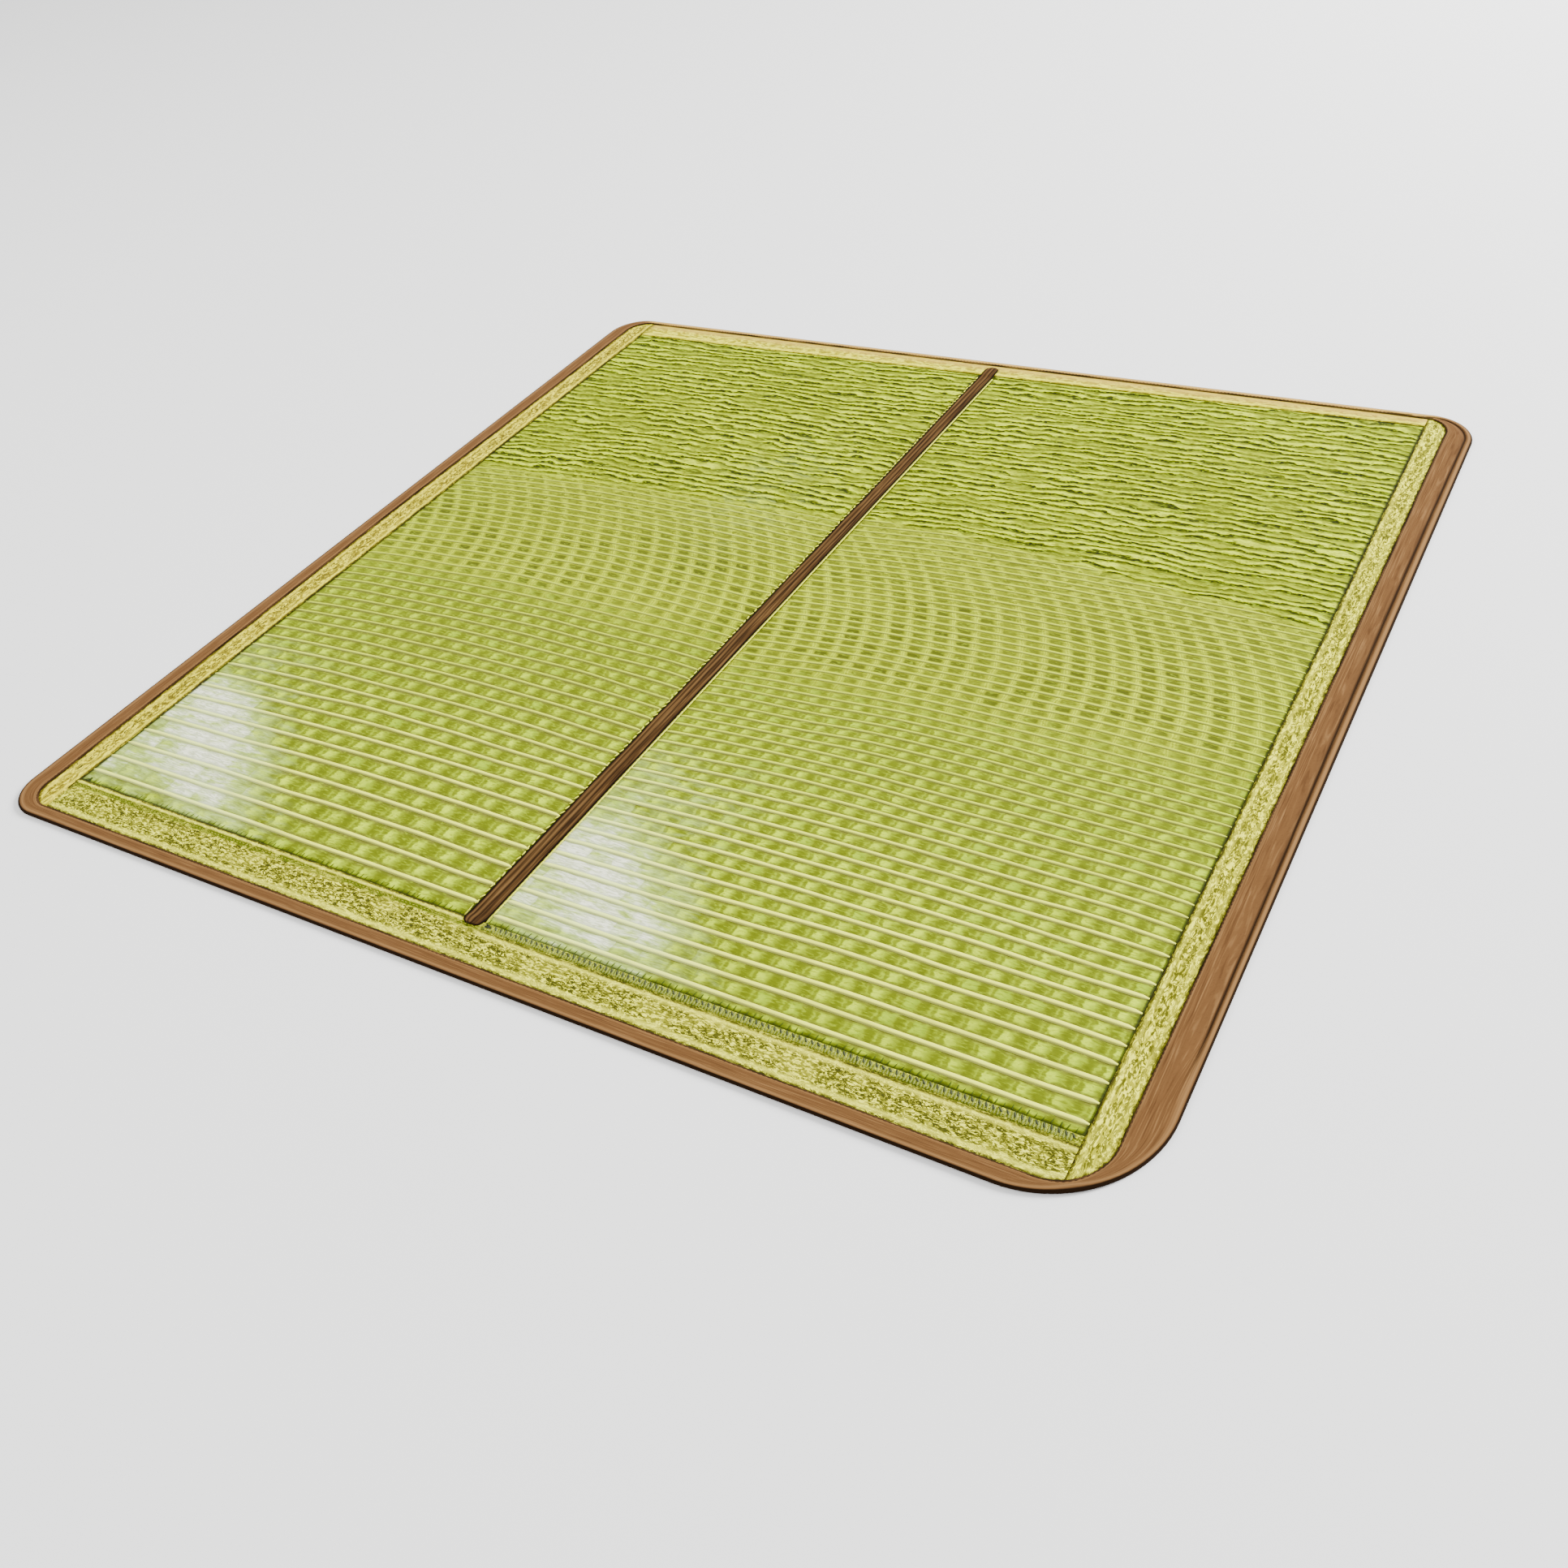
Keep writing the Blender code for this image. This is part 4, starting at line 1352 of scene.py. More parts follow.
    def spread(self, share: Array, row_place: Array) -> tuple[Array, Array, Array]:
        """Lay out points across the panel and along its rows.

        Args:
            share: Each point's share of the field, below 0 or above 1 on the rims.
            row_place: Each point's place along, before the rows bow.

        Returns:
            Across, along, and the distance in from the nearest edge of the field.
        """
        near, far = PLAN.panel_edges(self.side, row_place)
        left = self.side is Side.LEFT
        outer = near - self.turn_in if left else PLAN.seam(row_place) + GAP / 2
        inner = PLAN.seam(row_place) - GAP / 2 if left else far + self.turn_in
        rim = self.turn_in / (PLAN.strip_front_across - PLAN.strip_width / 2 - PLAN.field_left)
        across = near + (far - near) * np.clip(share, 0.0, 1.0)
        across = np.where(share < 0, mix(near, outer, -share / rim), across)
        across = np.where(share > 1, mix(far, inner, (share - 1) / rim), across)
        held = np.clip(row_place, PLAN.field_front, PLAN.field_back_at_left)
        along = self.row_line(held, across, np.clip(2 * share - 1, -1.0, 1.0)) + row_place - held
        edge = np.minimum(np.minimum(across - near, far - across),
                          np.minimum(row_place - PLAN.field_front, PLAN.field_back_at_left - row_place))
        return across, along, edge

    def build_slab(self) -> Piece:
        """Build the woven slab: a fine face and a coarser underside, joined at the rim.

        Returns:
            The slab.
        """
        lines, shares = self.lines(), self.column_shares()
        face = Grid(f"{self.side.value}_weave", len(shares) - 1, len(lines) - 1)
        place = lines[face.line]
        across, along, edge = self.spread(shares[face.column], place)
        phase = self.phase(place)
        relief = self.relief(across, along, phase)
        face.lay(PLAN.at(across, along, PLAN.panel_top + smooth(0.0, self.ease_in, edge) * relief))
        corner, row_line = face.corners()
        row = np.floor(self.phase(lines[row_line] + 1e-5))
        columns_there = self.columns_at(across[corner], phase[corner], row)
        face.add_map("weave", columns_there, np.clip(phase[corner], row + 0.001, row + 0.999))
        face.add_numbers("zones", *self.zones(across, along))
        # The third number is the painted shade along the field's edges.
        face.add_numbers("folds", *self.fold(across, along, phase), smooth(0.0056, 0.0020, edge))
        under = self.build_underside(lines[0], lines[-1])
        with edited(face.mesh) as bm:
            faces_above = len(bm.faces)
            bm.from_mesh(under.mesh)
            bm.faces.ensure_lookup_table()
            for polygon in bm.faces[faces_above:]:
                polygon.material_index = 1
                polygon.normal_flip()
            bmesh.ops.bridge_loops(bm, edges=[rim for rim in bm.edges if rim.is_boundary])
        bpy.data.meshes.remove(under.mesh)
        return show(face.name, face.mesh, "bamboo_weave", Finish.WEAVE_FACE, Finish.WEAVE_UNDERSIDE)

    def build_underside(self, front: float, back: float) -> Grid:
        """Lay out the underside, level with the floor but for the rims and the straps' recesses.

        Args:
            front: Where it starts along the mat.
            back: Where it ends.

        Returns:
            The open underside.
        """
        shares = self.column_shares()
        inner = np.linspace(0.0, 1.0, self.under_columns + 1)
        shares = np.concatenate([shares[:2], inner, shares[-2:]])
        under = Grid(f"{self.side.value}_underside", len(shares) - 1, self.under_lines)
        middle = np.linspace(PLAN.field_front, PLAN.field_back_at_left, self.under_lines - 3)
        lines = np.concatenate([[front, front + self.turn_in / 2], middle, [back - self.turn_in / 2, back]])
        across, along, edge = self.spread(shares[under.column], lines[under.line])
        column, row = across / self.under_pitch, along / self.under_pitch
        over = np.abs(np.sin(math.pi * column)) ** 0.5 * np.abs(np.sin(math.pi * row)) ** 0.5
        height = mix(PLAN.recess_top, self.under_depth * (1 - over), smooth(0.0, self.ease_in, edge))
        height = np.maximum(height, self.under_straps(across, along) * (PLAN.under_cloth + GAP))
        under.lay(PLAN.at(across, along, height))
        corner, _ = under.corners()
        under.add_map("weave", column[corner], row[corner])
        under.add_numbers("zones")
        under.add_numbers("folds")
        return under

    def under_straps(self, across: Array, along: Array) -> Array:
        """Press the corner straps into the underside, with a little room round them.

        Args:
            across: Places across the mat.
            along: Places along the mat.

        Returns:
            1 under a strap, fading to 0 beside it.
        """
        pressed = np.zeros_like(across)
        for strap in CornerStraps().straps():
            pressed = np.maximum(pressed, smooth(*self.strap_room, strap.distance(across, along)))
        return pressed

    def build_cords(self) -> Piece:
        """Build the cords in front of the wrinkled part, each a flattened tube that tapers out.

        Returns:
            The joined cords.
        """
        name = f"{self.side.value}_cords"
        mesh = bpy.data.meshes.new(name)
        with edited(mesh) as bm:
            for number, cord in enumerate(self.cords[self.cords < self.last_cord]):
                tube = Grid(f"cord_{number}", self.cord_steps, self.cord_sides)
                self.lay_cord(tube, cord, number)
                tube.close()
                bm.from_mesh(tube.mesh)
                bpy.data.meshes.remove(tube.mesh)
        return show(name, mesh, "bamboo_weave", Finish.CORD)

    def lay_cord(self, tube: Grid, cord: float, number: int) -> None:
        """Put one cord's points round its row line.

        Args:
            tube: The cord's points, along it and round it.
            cord: Where the cord lies along the mat, at the panel's middle.
            number: Its number from the front.
        """
        share, sides = tube.column / self.cord_steps, self.cord_sides
        around = 2 * math.pi * (tube.line % sides) / sides + math.pi / sides
        place = np.full(share.shape, cord)
        near, far = PLAN.panel_edges(self.side, place)
        across = mix(near + self.cord_gap, far - self.cord_gap, share)
        middle = self.row_line(place, across, 2 * share - 1)
        middle += 0.0008 * self.shiver.at(across * 0.35, middle + number)
        _, wrinkle, _ = self.zones(across, middle)
        slim = mix(1.0, 0.60, smooth(0.20, 0.75, middle)) * (1 - 0.75 * wrinkle)
        ends = np.clip(np.minimum(share, 1 - share) * 90, 0.35, 1.0)
        half_width = self.cord_half_width * slim * ends
        half_height = self.cord_half_height * mix(0.7, 1.0, slim) * ends
        swell = self.swell_height * (1 + self.swell.at(across, middle))
        base = PLAN.panel_top + self.float_ground + swell - 0.0012 * wrinkle
        tube.lay(PLAN.at(across, middle + half_width * np.cos(around), base + half_height * np.sin(around)))
        corner, _ = tube.corners()
        tube.add_map("cord", across[corner], tube.line[corner] / sides)
        tube.add_numbers("zones", *self.zones(across, middle))


@dataclass(frozen=True)
class Strap:
    """One elastic strap across a corner of the field, at 45 degrees."""

    end: str
    side: Side
    width: float = 0.060
    from_corner: float = 0.180

    def corner(self) -> tuple[float, float]:
        """Return the field's corner that the strap crosses."""
        across = PLAN.field_left if self.side is Side.LEFT else PLAN.field_right
        return across, PLAN.field_front if self.end == "front" else float(PLAN.back_of_field(across))

    def inward(self, across: Array, along: Array) -> tuple[Array, Array]:
        """Measure in from the two edges of the corner.

        Args:
            across: Places across the mat.
            along: Places along the mat.

        Returns:
            How far in from the side edge, and from the front or back edge.
        """
        corner_x, corner_y = self.corner()
        in_x = 1 if self.side is Side.LEFT else -1
        in_y = 1 if self.end == "front" else -1
        return (across - corner_x) * in_x, (along - corner_y) * in_y

    def distance(self, across: Array, along: Array) -> Array:
        """Return how far places lie outside the strap's band, or a negative depth inside it."""
        in_x, in_y = self.inward(across, along)
        return np.abs(in_x + in_y - self.from_corner) / math.sqrt(2) - self.width / 2


@dataclass
class CornerStraps:
    """The four elastic straps of the underside."""

    columns: int = 24
    lines: int = 40
    thickness: float = 0.0009
    clear: float = 0.0006
    rib_middle: float = 0.00015
    rib_height: float = 0.00012

    def straps(self) -> list[Strap]:
        """Return the four straps."""
        return [Strap(end, side) for end in ("front", "back") for side in Side]

    def build(self) -> list[Piece]:
        """Build each strap."""
        return [self.build_strap(strap) for strap in self.straps()]

    def build_strap(self, strap: Strap) -> Piece:
        """Build one strap as a flat ribbed band, level with the underside.

        Args:
            strap: Where it lies.

        Returns:
            The piece.
        """
        name = f"corner_elastic_{strap.end}_{strap.side.value}"
        band = Grid(name, self.columns, self.lines)
        half_reach = strap.width / math.sqrt(2)
        reach = strap.from_corner + half_reach * (2 * band.column / self.columns - 1)
        share = band.line / self.lines
        in_x, in_y = mix(self.clear, reach, share), mix(reach, self.clear, share)
        corner_x, corner_y = strap.corner()
        across = corner_x + in_x * (1 if strap.side is Side.LEFT else -1)
        lean = PLAN.back_of_field(across) - corner_y if strap.end == "back" else 0.0
        along = corner_y + in_y * (1 if strap.end == "front" else -1) + lean
        rib = self.rib_height * np.cos(band.column * math.pi)
        band.lay(PLAN.at(across, along, self.rib_middle + rib))
        corner, _ = band.corners()
        run = share * reach * math.sqrt(2)
        band.add_map("strip", run[corner], (band.column / self.columns * strap.width)[corner])
        edge = np.minimum(band.column, self.columns - band.column) / 2
        band.add_numbers("darkening", smooth(1.0, 0.0, edge) * 0.8)
        band.face(up=False)
        piece = show(name, band.mesh, "elastic", Finish.ELASTIC)
        thicken(piece, self.thickness)
        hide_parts(f"corner_strap_{strap.end}_{strap.side.value}")
        return piece


@dataclass
class CreamBorder:
    """One cream strip of the face or the underside, with the turned hem along its inner edge."""

    edge: Edge
    under: bool = False
    step: float = 0.009
    tuck: float = 0.006
    seam: float = 0.0004
    hem_width: float = 0.0125
    thickness: float = 0.0009
    clear: float = 0.0006
    lift: float = 0.00022
    pucker_height: float = 0.00026
    hem_height: float = 0.0007
    stitch_depth: float = 0.0005
    hem_columns: tuple = (0.0, 0.0008, 0.0018, 0.0032, 0.0046, 0.0062, 0.0080, 0.0102, 0.0114,
                          0.0124, 0.0134, 0.0152, 0.0170, 0.0190, 0.0212, 0.0240)
    rim_columns: tuple = (0.0140, 0.0090, 0.0055, 0.0036, 0.0022, 0.0009, -0.0010)
    body_columns: int = 7
    under_columns: int = 8

    def outward(self) -> int:
        """Return 1 where outwards is towards larger numbers, and -1 otherwise."""
        return 1 if self.edge in (Edge.RIGHT, Edge.BACK) else -1

    def inner(self, place: Array) -> Array:
        """Follow the strip's inner edge.

        Args:
            place: Places along the strip.

        Returns:
            Across for the left and right strips, along for the front and back strips.
        """
        if self.edge is Edge.BACK:
            return PLAN.back_of_field(place)
        lines = {Edge.LEFT: PLAN.field_left - self.seam, Edge.RIGHT: PLAN.field_right + self.seam,
                 Edge.FRONT: PLAN.field_front}
        return np.full_like(place, lines[self.edge])

    def width(self, place: Array) -> Array:
        """Return how wide the strip is: out to under the tape, or underneath to beside it."""
        out = PLAN.tape_edge(self.edge, place) if self.under else PLAN.outline(self.edge, place, self.tuck)
        return (out - self.inner(place)) * self.outward() - (self.clear if self.under else 0.0)

    def span(self) -> tuple[float, float]:
        """Find the strip's ends.

        Returns:
            Where it starts and where it ends along its edge.
        """
        if self.edge in (Edge.FRONT, Edge.BACK):
            return PLAN.field_left, PLAN.field_right
        places = np.arange(self.tuck, PLAN.length - self.tuck, 0.0005)
        there = places[self.width(places) > 0.002]
        return float(there[0]), float(there[-1])

    def build(self) -> Piece:
        """Build the strip as one cloth.

        Returns:
            The strip.
        """
        prefix = "under_cream" if self.under else "cream"
        start, end = self.span()
        steps = round((end - start) / (self.step * (2 if self.under else 1)))
        places = np.linspace(start, end, steps + 1)
        distances = self.columns(places)
        cloth = Grid(f"{prefix}_{self.edge.value}", distances.shape[1] - 1, steps)
        place, distance = places[cloth.line], distances[cloth.line, cloth.column]
        out = self.inner(place) + self.outward() * distance
        to_tape = (PLAN.tape_edge(self.edge, place) - out) * self.outward()
        upright = self.edge in (Edge.LEFT, Edge.RIGHT)
        across, along = (out, place) if upright else (place, out)
        cloth.lay(PLAN.at(across, along, self.height(place, distance, to_tape)))
        corner, _ = cloth.corners()
        cloth.add_map("strip", place[corner], distance[corner])
        cloth.add_numbers("edges", *self.edge_shades(place, distance, to_tape))
        cloth.face(up=not self.under)
        finish = Finish.CREAM_UNDER if self.under else Finish[f"CREAM_{self.edge.name}"]
        piece = show(cloth.name, cloth.mesh, "cream_cloth", finish)
        thicken(piece, self.thickness)
        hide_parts(f"{'under_border' if self.under else 'border'}_{self.edge.value}")
        flat = (float(np.mean(self.width(places))), end - start)
        return piece

    def columns(self, places: Array) -> Array:
        """Set the strip's columns, closer at its hem and beside the tape.

        Args:
            places: Places along the strip.

        Returns:
            How far out from the inner edge each column lies, one row for each place.
        """
        total = self.width(places)[:, None]
        if self.under:
            return total * np.linspace(0.0, 1.0, self.under_columns + 1)
        tape = ((PLAN.tape_edge(self.edge, places) - self.inner(places)) * self.outward())[:, None]
        hem = np.broadcast_to(np.array(self.hem_columns), (len(places), len(self.hem_columns)))
        rim = tape - np.array(self.rim_columns)
        share = np.arange(1, self.body_columns + 1) / (self.body_columns + 1)
        body = mix(hem[:, -1:], rim[:, :1], share)
        columns = np.concatenate([hem, body, rim, total], axis=1)
        least = total * np.arange(columns.shape[1]) / (columns.shape[1] - 1) * 0.05
        return np.sort(np.clip(columns, least, total * 0.95 + least), axis=1)

    def height(self, place: Array, distance: Array, to_tape: Array) -> Array:
        """Shape the strip's outer face.

        Args:
            place: Places along the strip.
            distance: How far out from the inner edge they lie.
            to_tape: How far in from the tape they lie.

        Returns:
            Heights.
        """
        if self.under:
            return 0.0001 + 0.0002 * smooth(0.0, 0.004, distance)
        seed = list(Edge).index(self.edge)
        pucker = Unevenness(71 + seed, 0.021, 0.016).at(place, distance)
        hem = smooth(0.0, 0.0022, distance)
        hem = hem * smooth(self.hem_width + 0.0010, self.hem_width - 0.0014, distance)
        stitch = bell(self.hem_width, 0.0014, distance)
        if self.edge is not Edge.FRONT:
            hem, stitch = 0.6 * bell(0.0055, 0.0030, distance), 0.0
        free = smooth(0.0, 0.012, to_tape)
        top = PLAN.border_top - 0.0004 + free * (self.lift + self.pucker_height * pucker)
        top = top + self.hem_height * hem - self.stitch_depth * stitch
        return top - 0.0004 * smooth(0.0022, 0.0, distance)

    def edge_shades(self, place: Array, distance: Array, to_tape: Array) -> tuple[Array, Array, Array]:
        """Paint shade in the strip's seams and highlights on the folds beside them.

        Args:
            place: Places along the strip.
            distance: How far out from the inner edge they lie.
            to_tape: How far in from the tape they lie.

        Returns:
            How much painted shade the seams get, how much painted highlight the folds get, and how much of
            the strip's other colour shows.
        """
        broken = 0.5 + 0.5 * uneven_along(131 + list(Edge).index(self.edge), 0.022, place)
        ragged = 0.0012 * (broken - 0.5)
        # Painted shade by the inner edge, where the cloth steps down to the weave, and by the raised tape.
        dark = smooth(0.0046, 0.0022, distance + ragged) * mix(0.70, 1.0, broken)
        tuck = smooth(0.0042, 0.0016, to_tape + ragged) * mix(0.60, 1.0, broken)
        # Painted highlights on the folds by the inner edge and by the tape.
        pale = np.maximum(bell(0.0078, 0.0030, distance), 0.9 * bell(0.0082, 0.0032, to_tape))
        if self.edge is Edge.LEFT:
            dark *= smooth(0.070, 0.078, place)
        if self.edge is Edge.RIGHT:
            pale *= 0.4
        if self.edge is Edge.BACK:
            dark *= 0.45
        if self.under:
            return dark * 0.4, pale * 0.3, pale * 0.0
        shade, other = np.maximum(dark, tuck), np.zeros_like(distance)
        if self.edge is Edge.BACK:
            other = 0.75 * smooth(0.034, 0.006, to_tape)
        if self.edge is Edge.FRONT:
            # Front, left half: a painted olive shade band under the hem. Right half: the overlock's olive
            # ground, a dark line along it and a pale line past it.
            bound = smooth(0.984, 0.990, place)
            band = smooth(0.0080, 0.0100, distance) * smooth(0.0205, 0.0165, distance + 4 * ragged)
            line = bell(0.0170, 0.0018, distance + ragged)
            other = mix(band * mix(0.35, 1.0, broken), 0.5 * smooth(0.0165, 0.0150, distance), bound)
            shade = np.maximum(mix(shade, tuck, bound), bound * line * mix(0.5, 1.0, broken))
            pale = mix(bell(0.0062, 0.0022, distance), bell(0.0215, 0.0030, distance), bound)
            pale = np.maximum(pale, 0.9 * bell(0.0082, 0.0032, to_tape))
        return shade, np.clip(pale, 0.0, 1.0), other


@dataclass
class BindingTape:
    """The brown tape folded over the rim, with a grooved lip down its right side."""

    groove_middle: float = 0.0160
    groove_half: float = 0.0026
    leg: float = 0.0014
    arc_steps: int = 22
    straight_steps: int = 200
    flat: tuple = (0.075, 7.6)
    pucker_height: float = 0.00018
    stitches_in: float = 0.0034
    stitch_pitch: float = 0.0075

    def build(self) -> list[Piece]:
        """Build the tape and its line of stitches.

        Returns:
            The tape and the stitches.
        """
        outer, inner, groove, run = self.stations()
        tape = self.build_tape(outer, inner, groove, run)
        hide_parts("binding_tape")
        seam = self.build_stitches(outer, inner)
        return [tape, seam]

    def corner_pair(self, name: str) -> tuple[Array, Array]:
        """Turn the tape round one corner.

        Args:
            name: The corner.

        Returns:
            Points on the outline, and on the tape's inner edge.
        """
        right, back = name.endswith("right"), name.startswith("back")
        radius, small = PLAN.corner_radius[name], PLAN.inner_radius[name]
        reach_x = PLAN.tape_reach[Edge.RIGHT if right else Edge.LEFT][-1 if back else 0][1]
        reach_y = PLAN.tape_reach[Edge.BACK if back else Edge.FRONT][0][1]
        centre = (PLAN.width - radius if right else radius, PLAN.length - radius if back else radius)
        inner = (PLAN.width - reach_x - small if right else reach_x + small,
                 PLAN.length - reach_y - small if back else reach_y + small)
        start = {"front_right": -90, "back_right": 0, "back_left": 90, "front_left": 180}[name]
        angle = np.radians(start + 90 * np.arange(self.arc_steps + 1) / self.arc_steps)
        ring = np.stack([np.cos(angle), np.sin(angle)], axis=-1)
        return np.array(centre) + radius * ring, np.array(inner) + small * ring

    def stations(self) -> tuple[Array, Array, Array, Array]:
        """Return the tape's stations round the mat.

        Returns:
            Outline points, inner edge points, how open the groove is, and the run in metres.
        """
        names = ["front_right", "back_right", "back_left", "front_left"]
        outer, inner, groove = [], [], []
        share = np.arange(1, self.straight_steps)[:, None] / self.straight_steps
        for number, name in enumerate(names):
            out, inn = self.corner_pair(name)
            next_out, next_inn = self.corner_pair(names[(number + 1) % 4])
            run_out, run_in = mix(out[-1], next_out[0], share), mix(inn[-1], next_inn[0], share)
            if name == "back_left":
                known = np.array(PLAN.tape_reach[Edge.LEFT])
                run_in[:, 0] = np.interp(run_in[:, 1], known[:, 0], known[:, 1])
            outer += [out, run_out]
            inner += [inn, run_in]
            on_side = smooth(0.02, 0.10, share[:, 0]) if name == "front_right" else np.zeros(len(run_out))
            if name == "back_right":
                on_side = smooth(0.06, 0.0, share[:, 0])
            groove += [np.full(len(out), 1.0 if name == "back_right" else 0.0), on_side]
        outer, inner, groove = np.concatenate(outer), np.concatenate(inner), np.concatenate(groove)
        steps = np.linalg.norm(np.roll(outer, -1, axis=0) - outer, axis=1)
        return outer, inner, groove, np.concatenate([[0.0], np.cumsum(steps)])

    def section(self, reach: Array, groove: Array) -> tuple[Array, Array]:
        """Shape the tape's section.

        Args:
            reach: How far the tape reaches in at each station.
            groove: How open the groove is at each station.

        Returns:
            Distances in from the rim, and heights, with a row for each point of the section.
        """
        top = PLAN.tape_top
        points = [(reach, PLAN.tape_bottom), (reach - 0.0004, top - 0.0005), (reach - 0.0012, top),
                  (reach - 0.0024, top - 0.0001), (reach - 0.0034, top - 0.0004), (reach - 0.0048, top)]
        points += [(mix(0.0085, reach - 0.0048, share), top + 0.0002) for share in (0.92, 0.78, 0.62)]
        shares, cuts = (0.50, 0.42, 0.34, 0.26, 0.18), (3.8, 1.9, 0.0, -1.9, -3.8)
        for share, step, sink in zip(shares, cuts, (0.0, 0.0013, 0.0015, 0.0013, 0.0)):
            plain = mix(0.0085, reach - 0.0048, share)
            cut_at = self.groove_middle + step * self.groove_half / 2.6
            points.append((mix(plain, cut_at, groove), top + 0.0002 - sink * groove))
        points += [(0.0085, top + 0.0002 + 0.0002 * groove), (0.0062, top + 0.0001), (0.0045, top),
                   (0.0030, top - 0.0002), (0.0016, top - 0.0007), (0.0005, top - 0.0018), (0.0, 0.0040),
                   (0.0, 0.0024), (0.0005, 0.0009), (0.0016, 0.0002), (0.0040, 0.0), (0.5 * reach, 0.0),
                   (reach - 0.0006, 0.0), (reach, 0.0004), (reach, self.leg), (0.5 * reach, self.leg),
                   (0.0026, self.leg), (0.0026, PLAN.tape_bottom)]
        flat = [np.broadcast_arrays(distance, height, reach)[:2] for distance, height in points]
        return np.array([pair[0] for pair in flat]), np.array([pair[1] for pair in flat])

    def build_tape(self, outer: Array, inner: Array, groove: Array, run: Array) -> Piece:
        """Build the folded tape as one closed band.

        Args:
            outer: Its stations on the outline.
            inner: Its stations on the inner edge.
            groove: How open the groove is at each station.
            run: How far round the mat each station lies.

        Returns:
            The tape.
        """
        reach = np.linalg.norm(inner - outer, axis=1)
        inward = (inner - outer) / reach[:, None]
        distances, heights = self.section(reach, groove)
        count, sides = len(outer), len(distances)
        band = Grid("binding", count, sides)
        station, side = band.column % count, band.line % sides
        distance, height = distances[side, station], heights[side, station]
        places = outer[station] + inward[station] * distance[:, None]
        pucker = Unevenness(83, 0.024, 0.020).at(run[station], distance)
        on_top = smooth(0.0055, 0.0064, height) * smooth(0.002, 0.009, distance)
        band.lay(PLAN.at(places[:, 0], places[:, 1], height + self.pucker_height * pucker * on_top))
        corner, _ = band.corners()
        steps = np.hypot(np.diff(distances[:, 0]), np.diff(heights[:, 0]))
        girth = np.concatenate([[0.0], np.cumsum(steps)])
        girth = np.append(girth, girth[-1] + 0.002)
        band.add_map("strip", run[band.column][corner], girth[band.line][corner])
        shades = self.edge_shades(run[station], distance, reach[station], groove[station])
        on_back = smooth(1.925, 1.944, outer[station, 1]) * smooth(1.955, 1.900, outer[station, 0])
        # Painted shade and painted highlight, then the faded tan of the back edge.
        band.add_numbers("darkening", *shades, 0.9 * on_back * smooth(0.05, 0.09, outer[station, 0]))
        band.close()
        return show("binding", band.mesh, "brown_tape", Finish.TAPE)

    def edge_shades(self, run: Array, distance: Array, reach: Array, groove: Array) -> tuple[Array, Array]:
        """Paint shade on the tape's folds and in its groove, and highlights on the pressed ridges beside
        them.

        Args:
            run: How far round the mat each point lies.
            distance: How far in from the rim it lies.
            reach: How far the tape reaches in there.
            groove: How open the groove is there.

        Returns:
            How much painted shade the folds and the groove get, and how much painted highlight the ridges.
        """
        broken = 0.5 + 0.5 * uneven_along(151, 0.040, run)
        # Painted shade in the groove.
        groove_shade = groove * bell(self.groove_middle, 0.0030, distance)
        # Painted shade on the outer rim and on the inner folded edge.
        rim = smooth(0.0050, 0.0034, distance)
        hem = smooth(0.0044, 0.0020, reach - distance) * mix(0.55, 1.0, broken)
        dark = np.clip(np.maximum(np.maximum(groove_shade, rim), hem), 0.0, 0.98)
        # Painted highlights on the pressed ridges.
        pale = np.maximum(bell(0.0085, 0.0028, distance), 0.6 * bell(0.0050, 0.0020, reach - distance))
        return dark, np.maximum(pale, groove * smooth(0.0125, 0.0100, distance))

    def build_stitches(self, outer: Array, inner: Array) -> Piece:
        """Sew a line of stitches a little out from the tape's inner edge.

        Args:
            outer: The tape's stations on the outline.
            inner: Its stations on the inner edge.

        Returns:
            The stitches.
        """
        reach = np.linalg.norm(inner - outer, axis=1)
        line = inner + (outer - inner) / reach[:, None] * self.stitches_in
        places, headings = spaced_along(line, self.stitch_pitch, closed=True)
        points = PLAN.at(places[:, 0], places[:, 1], PLAN.tape_top - 0.0002)
        run = StitchRun("tape_stitches", "brown_tape", Finish.BROWN_THREAD, 0.0048, 0.0011, 0.0007)
        return run.sew(points, headings)


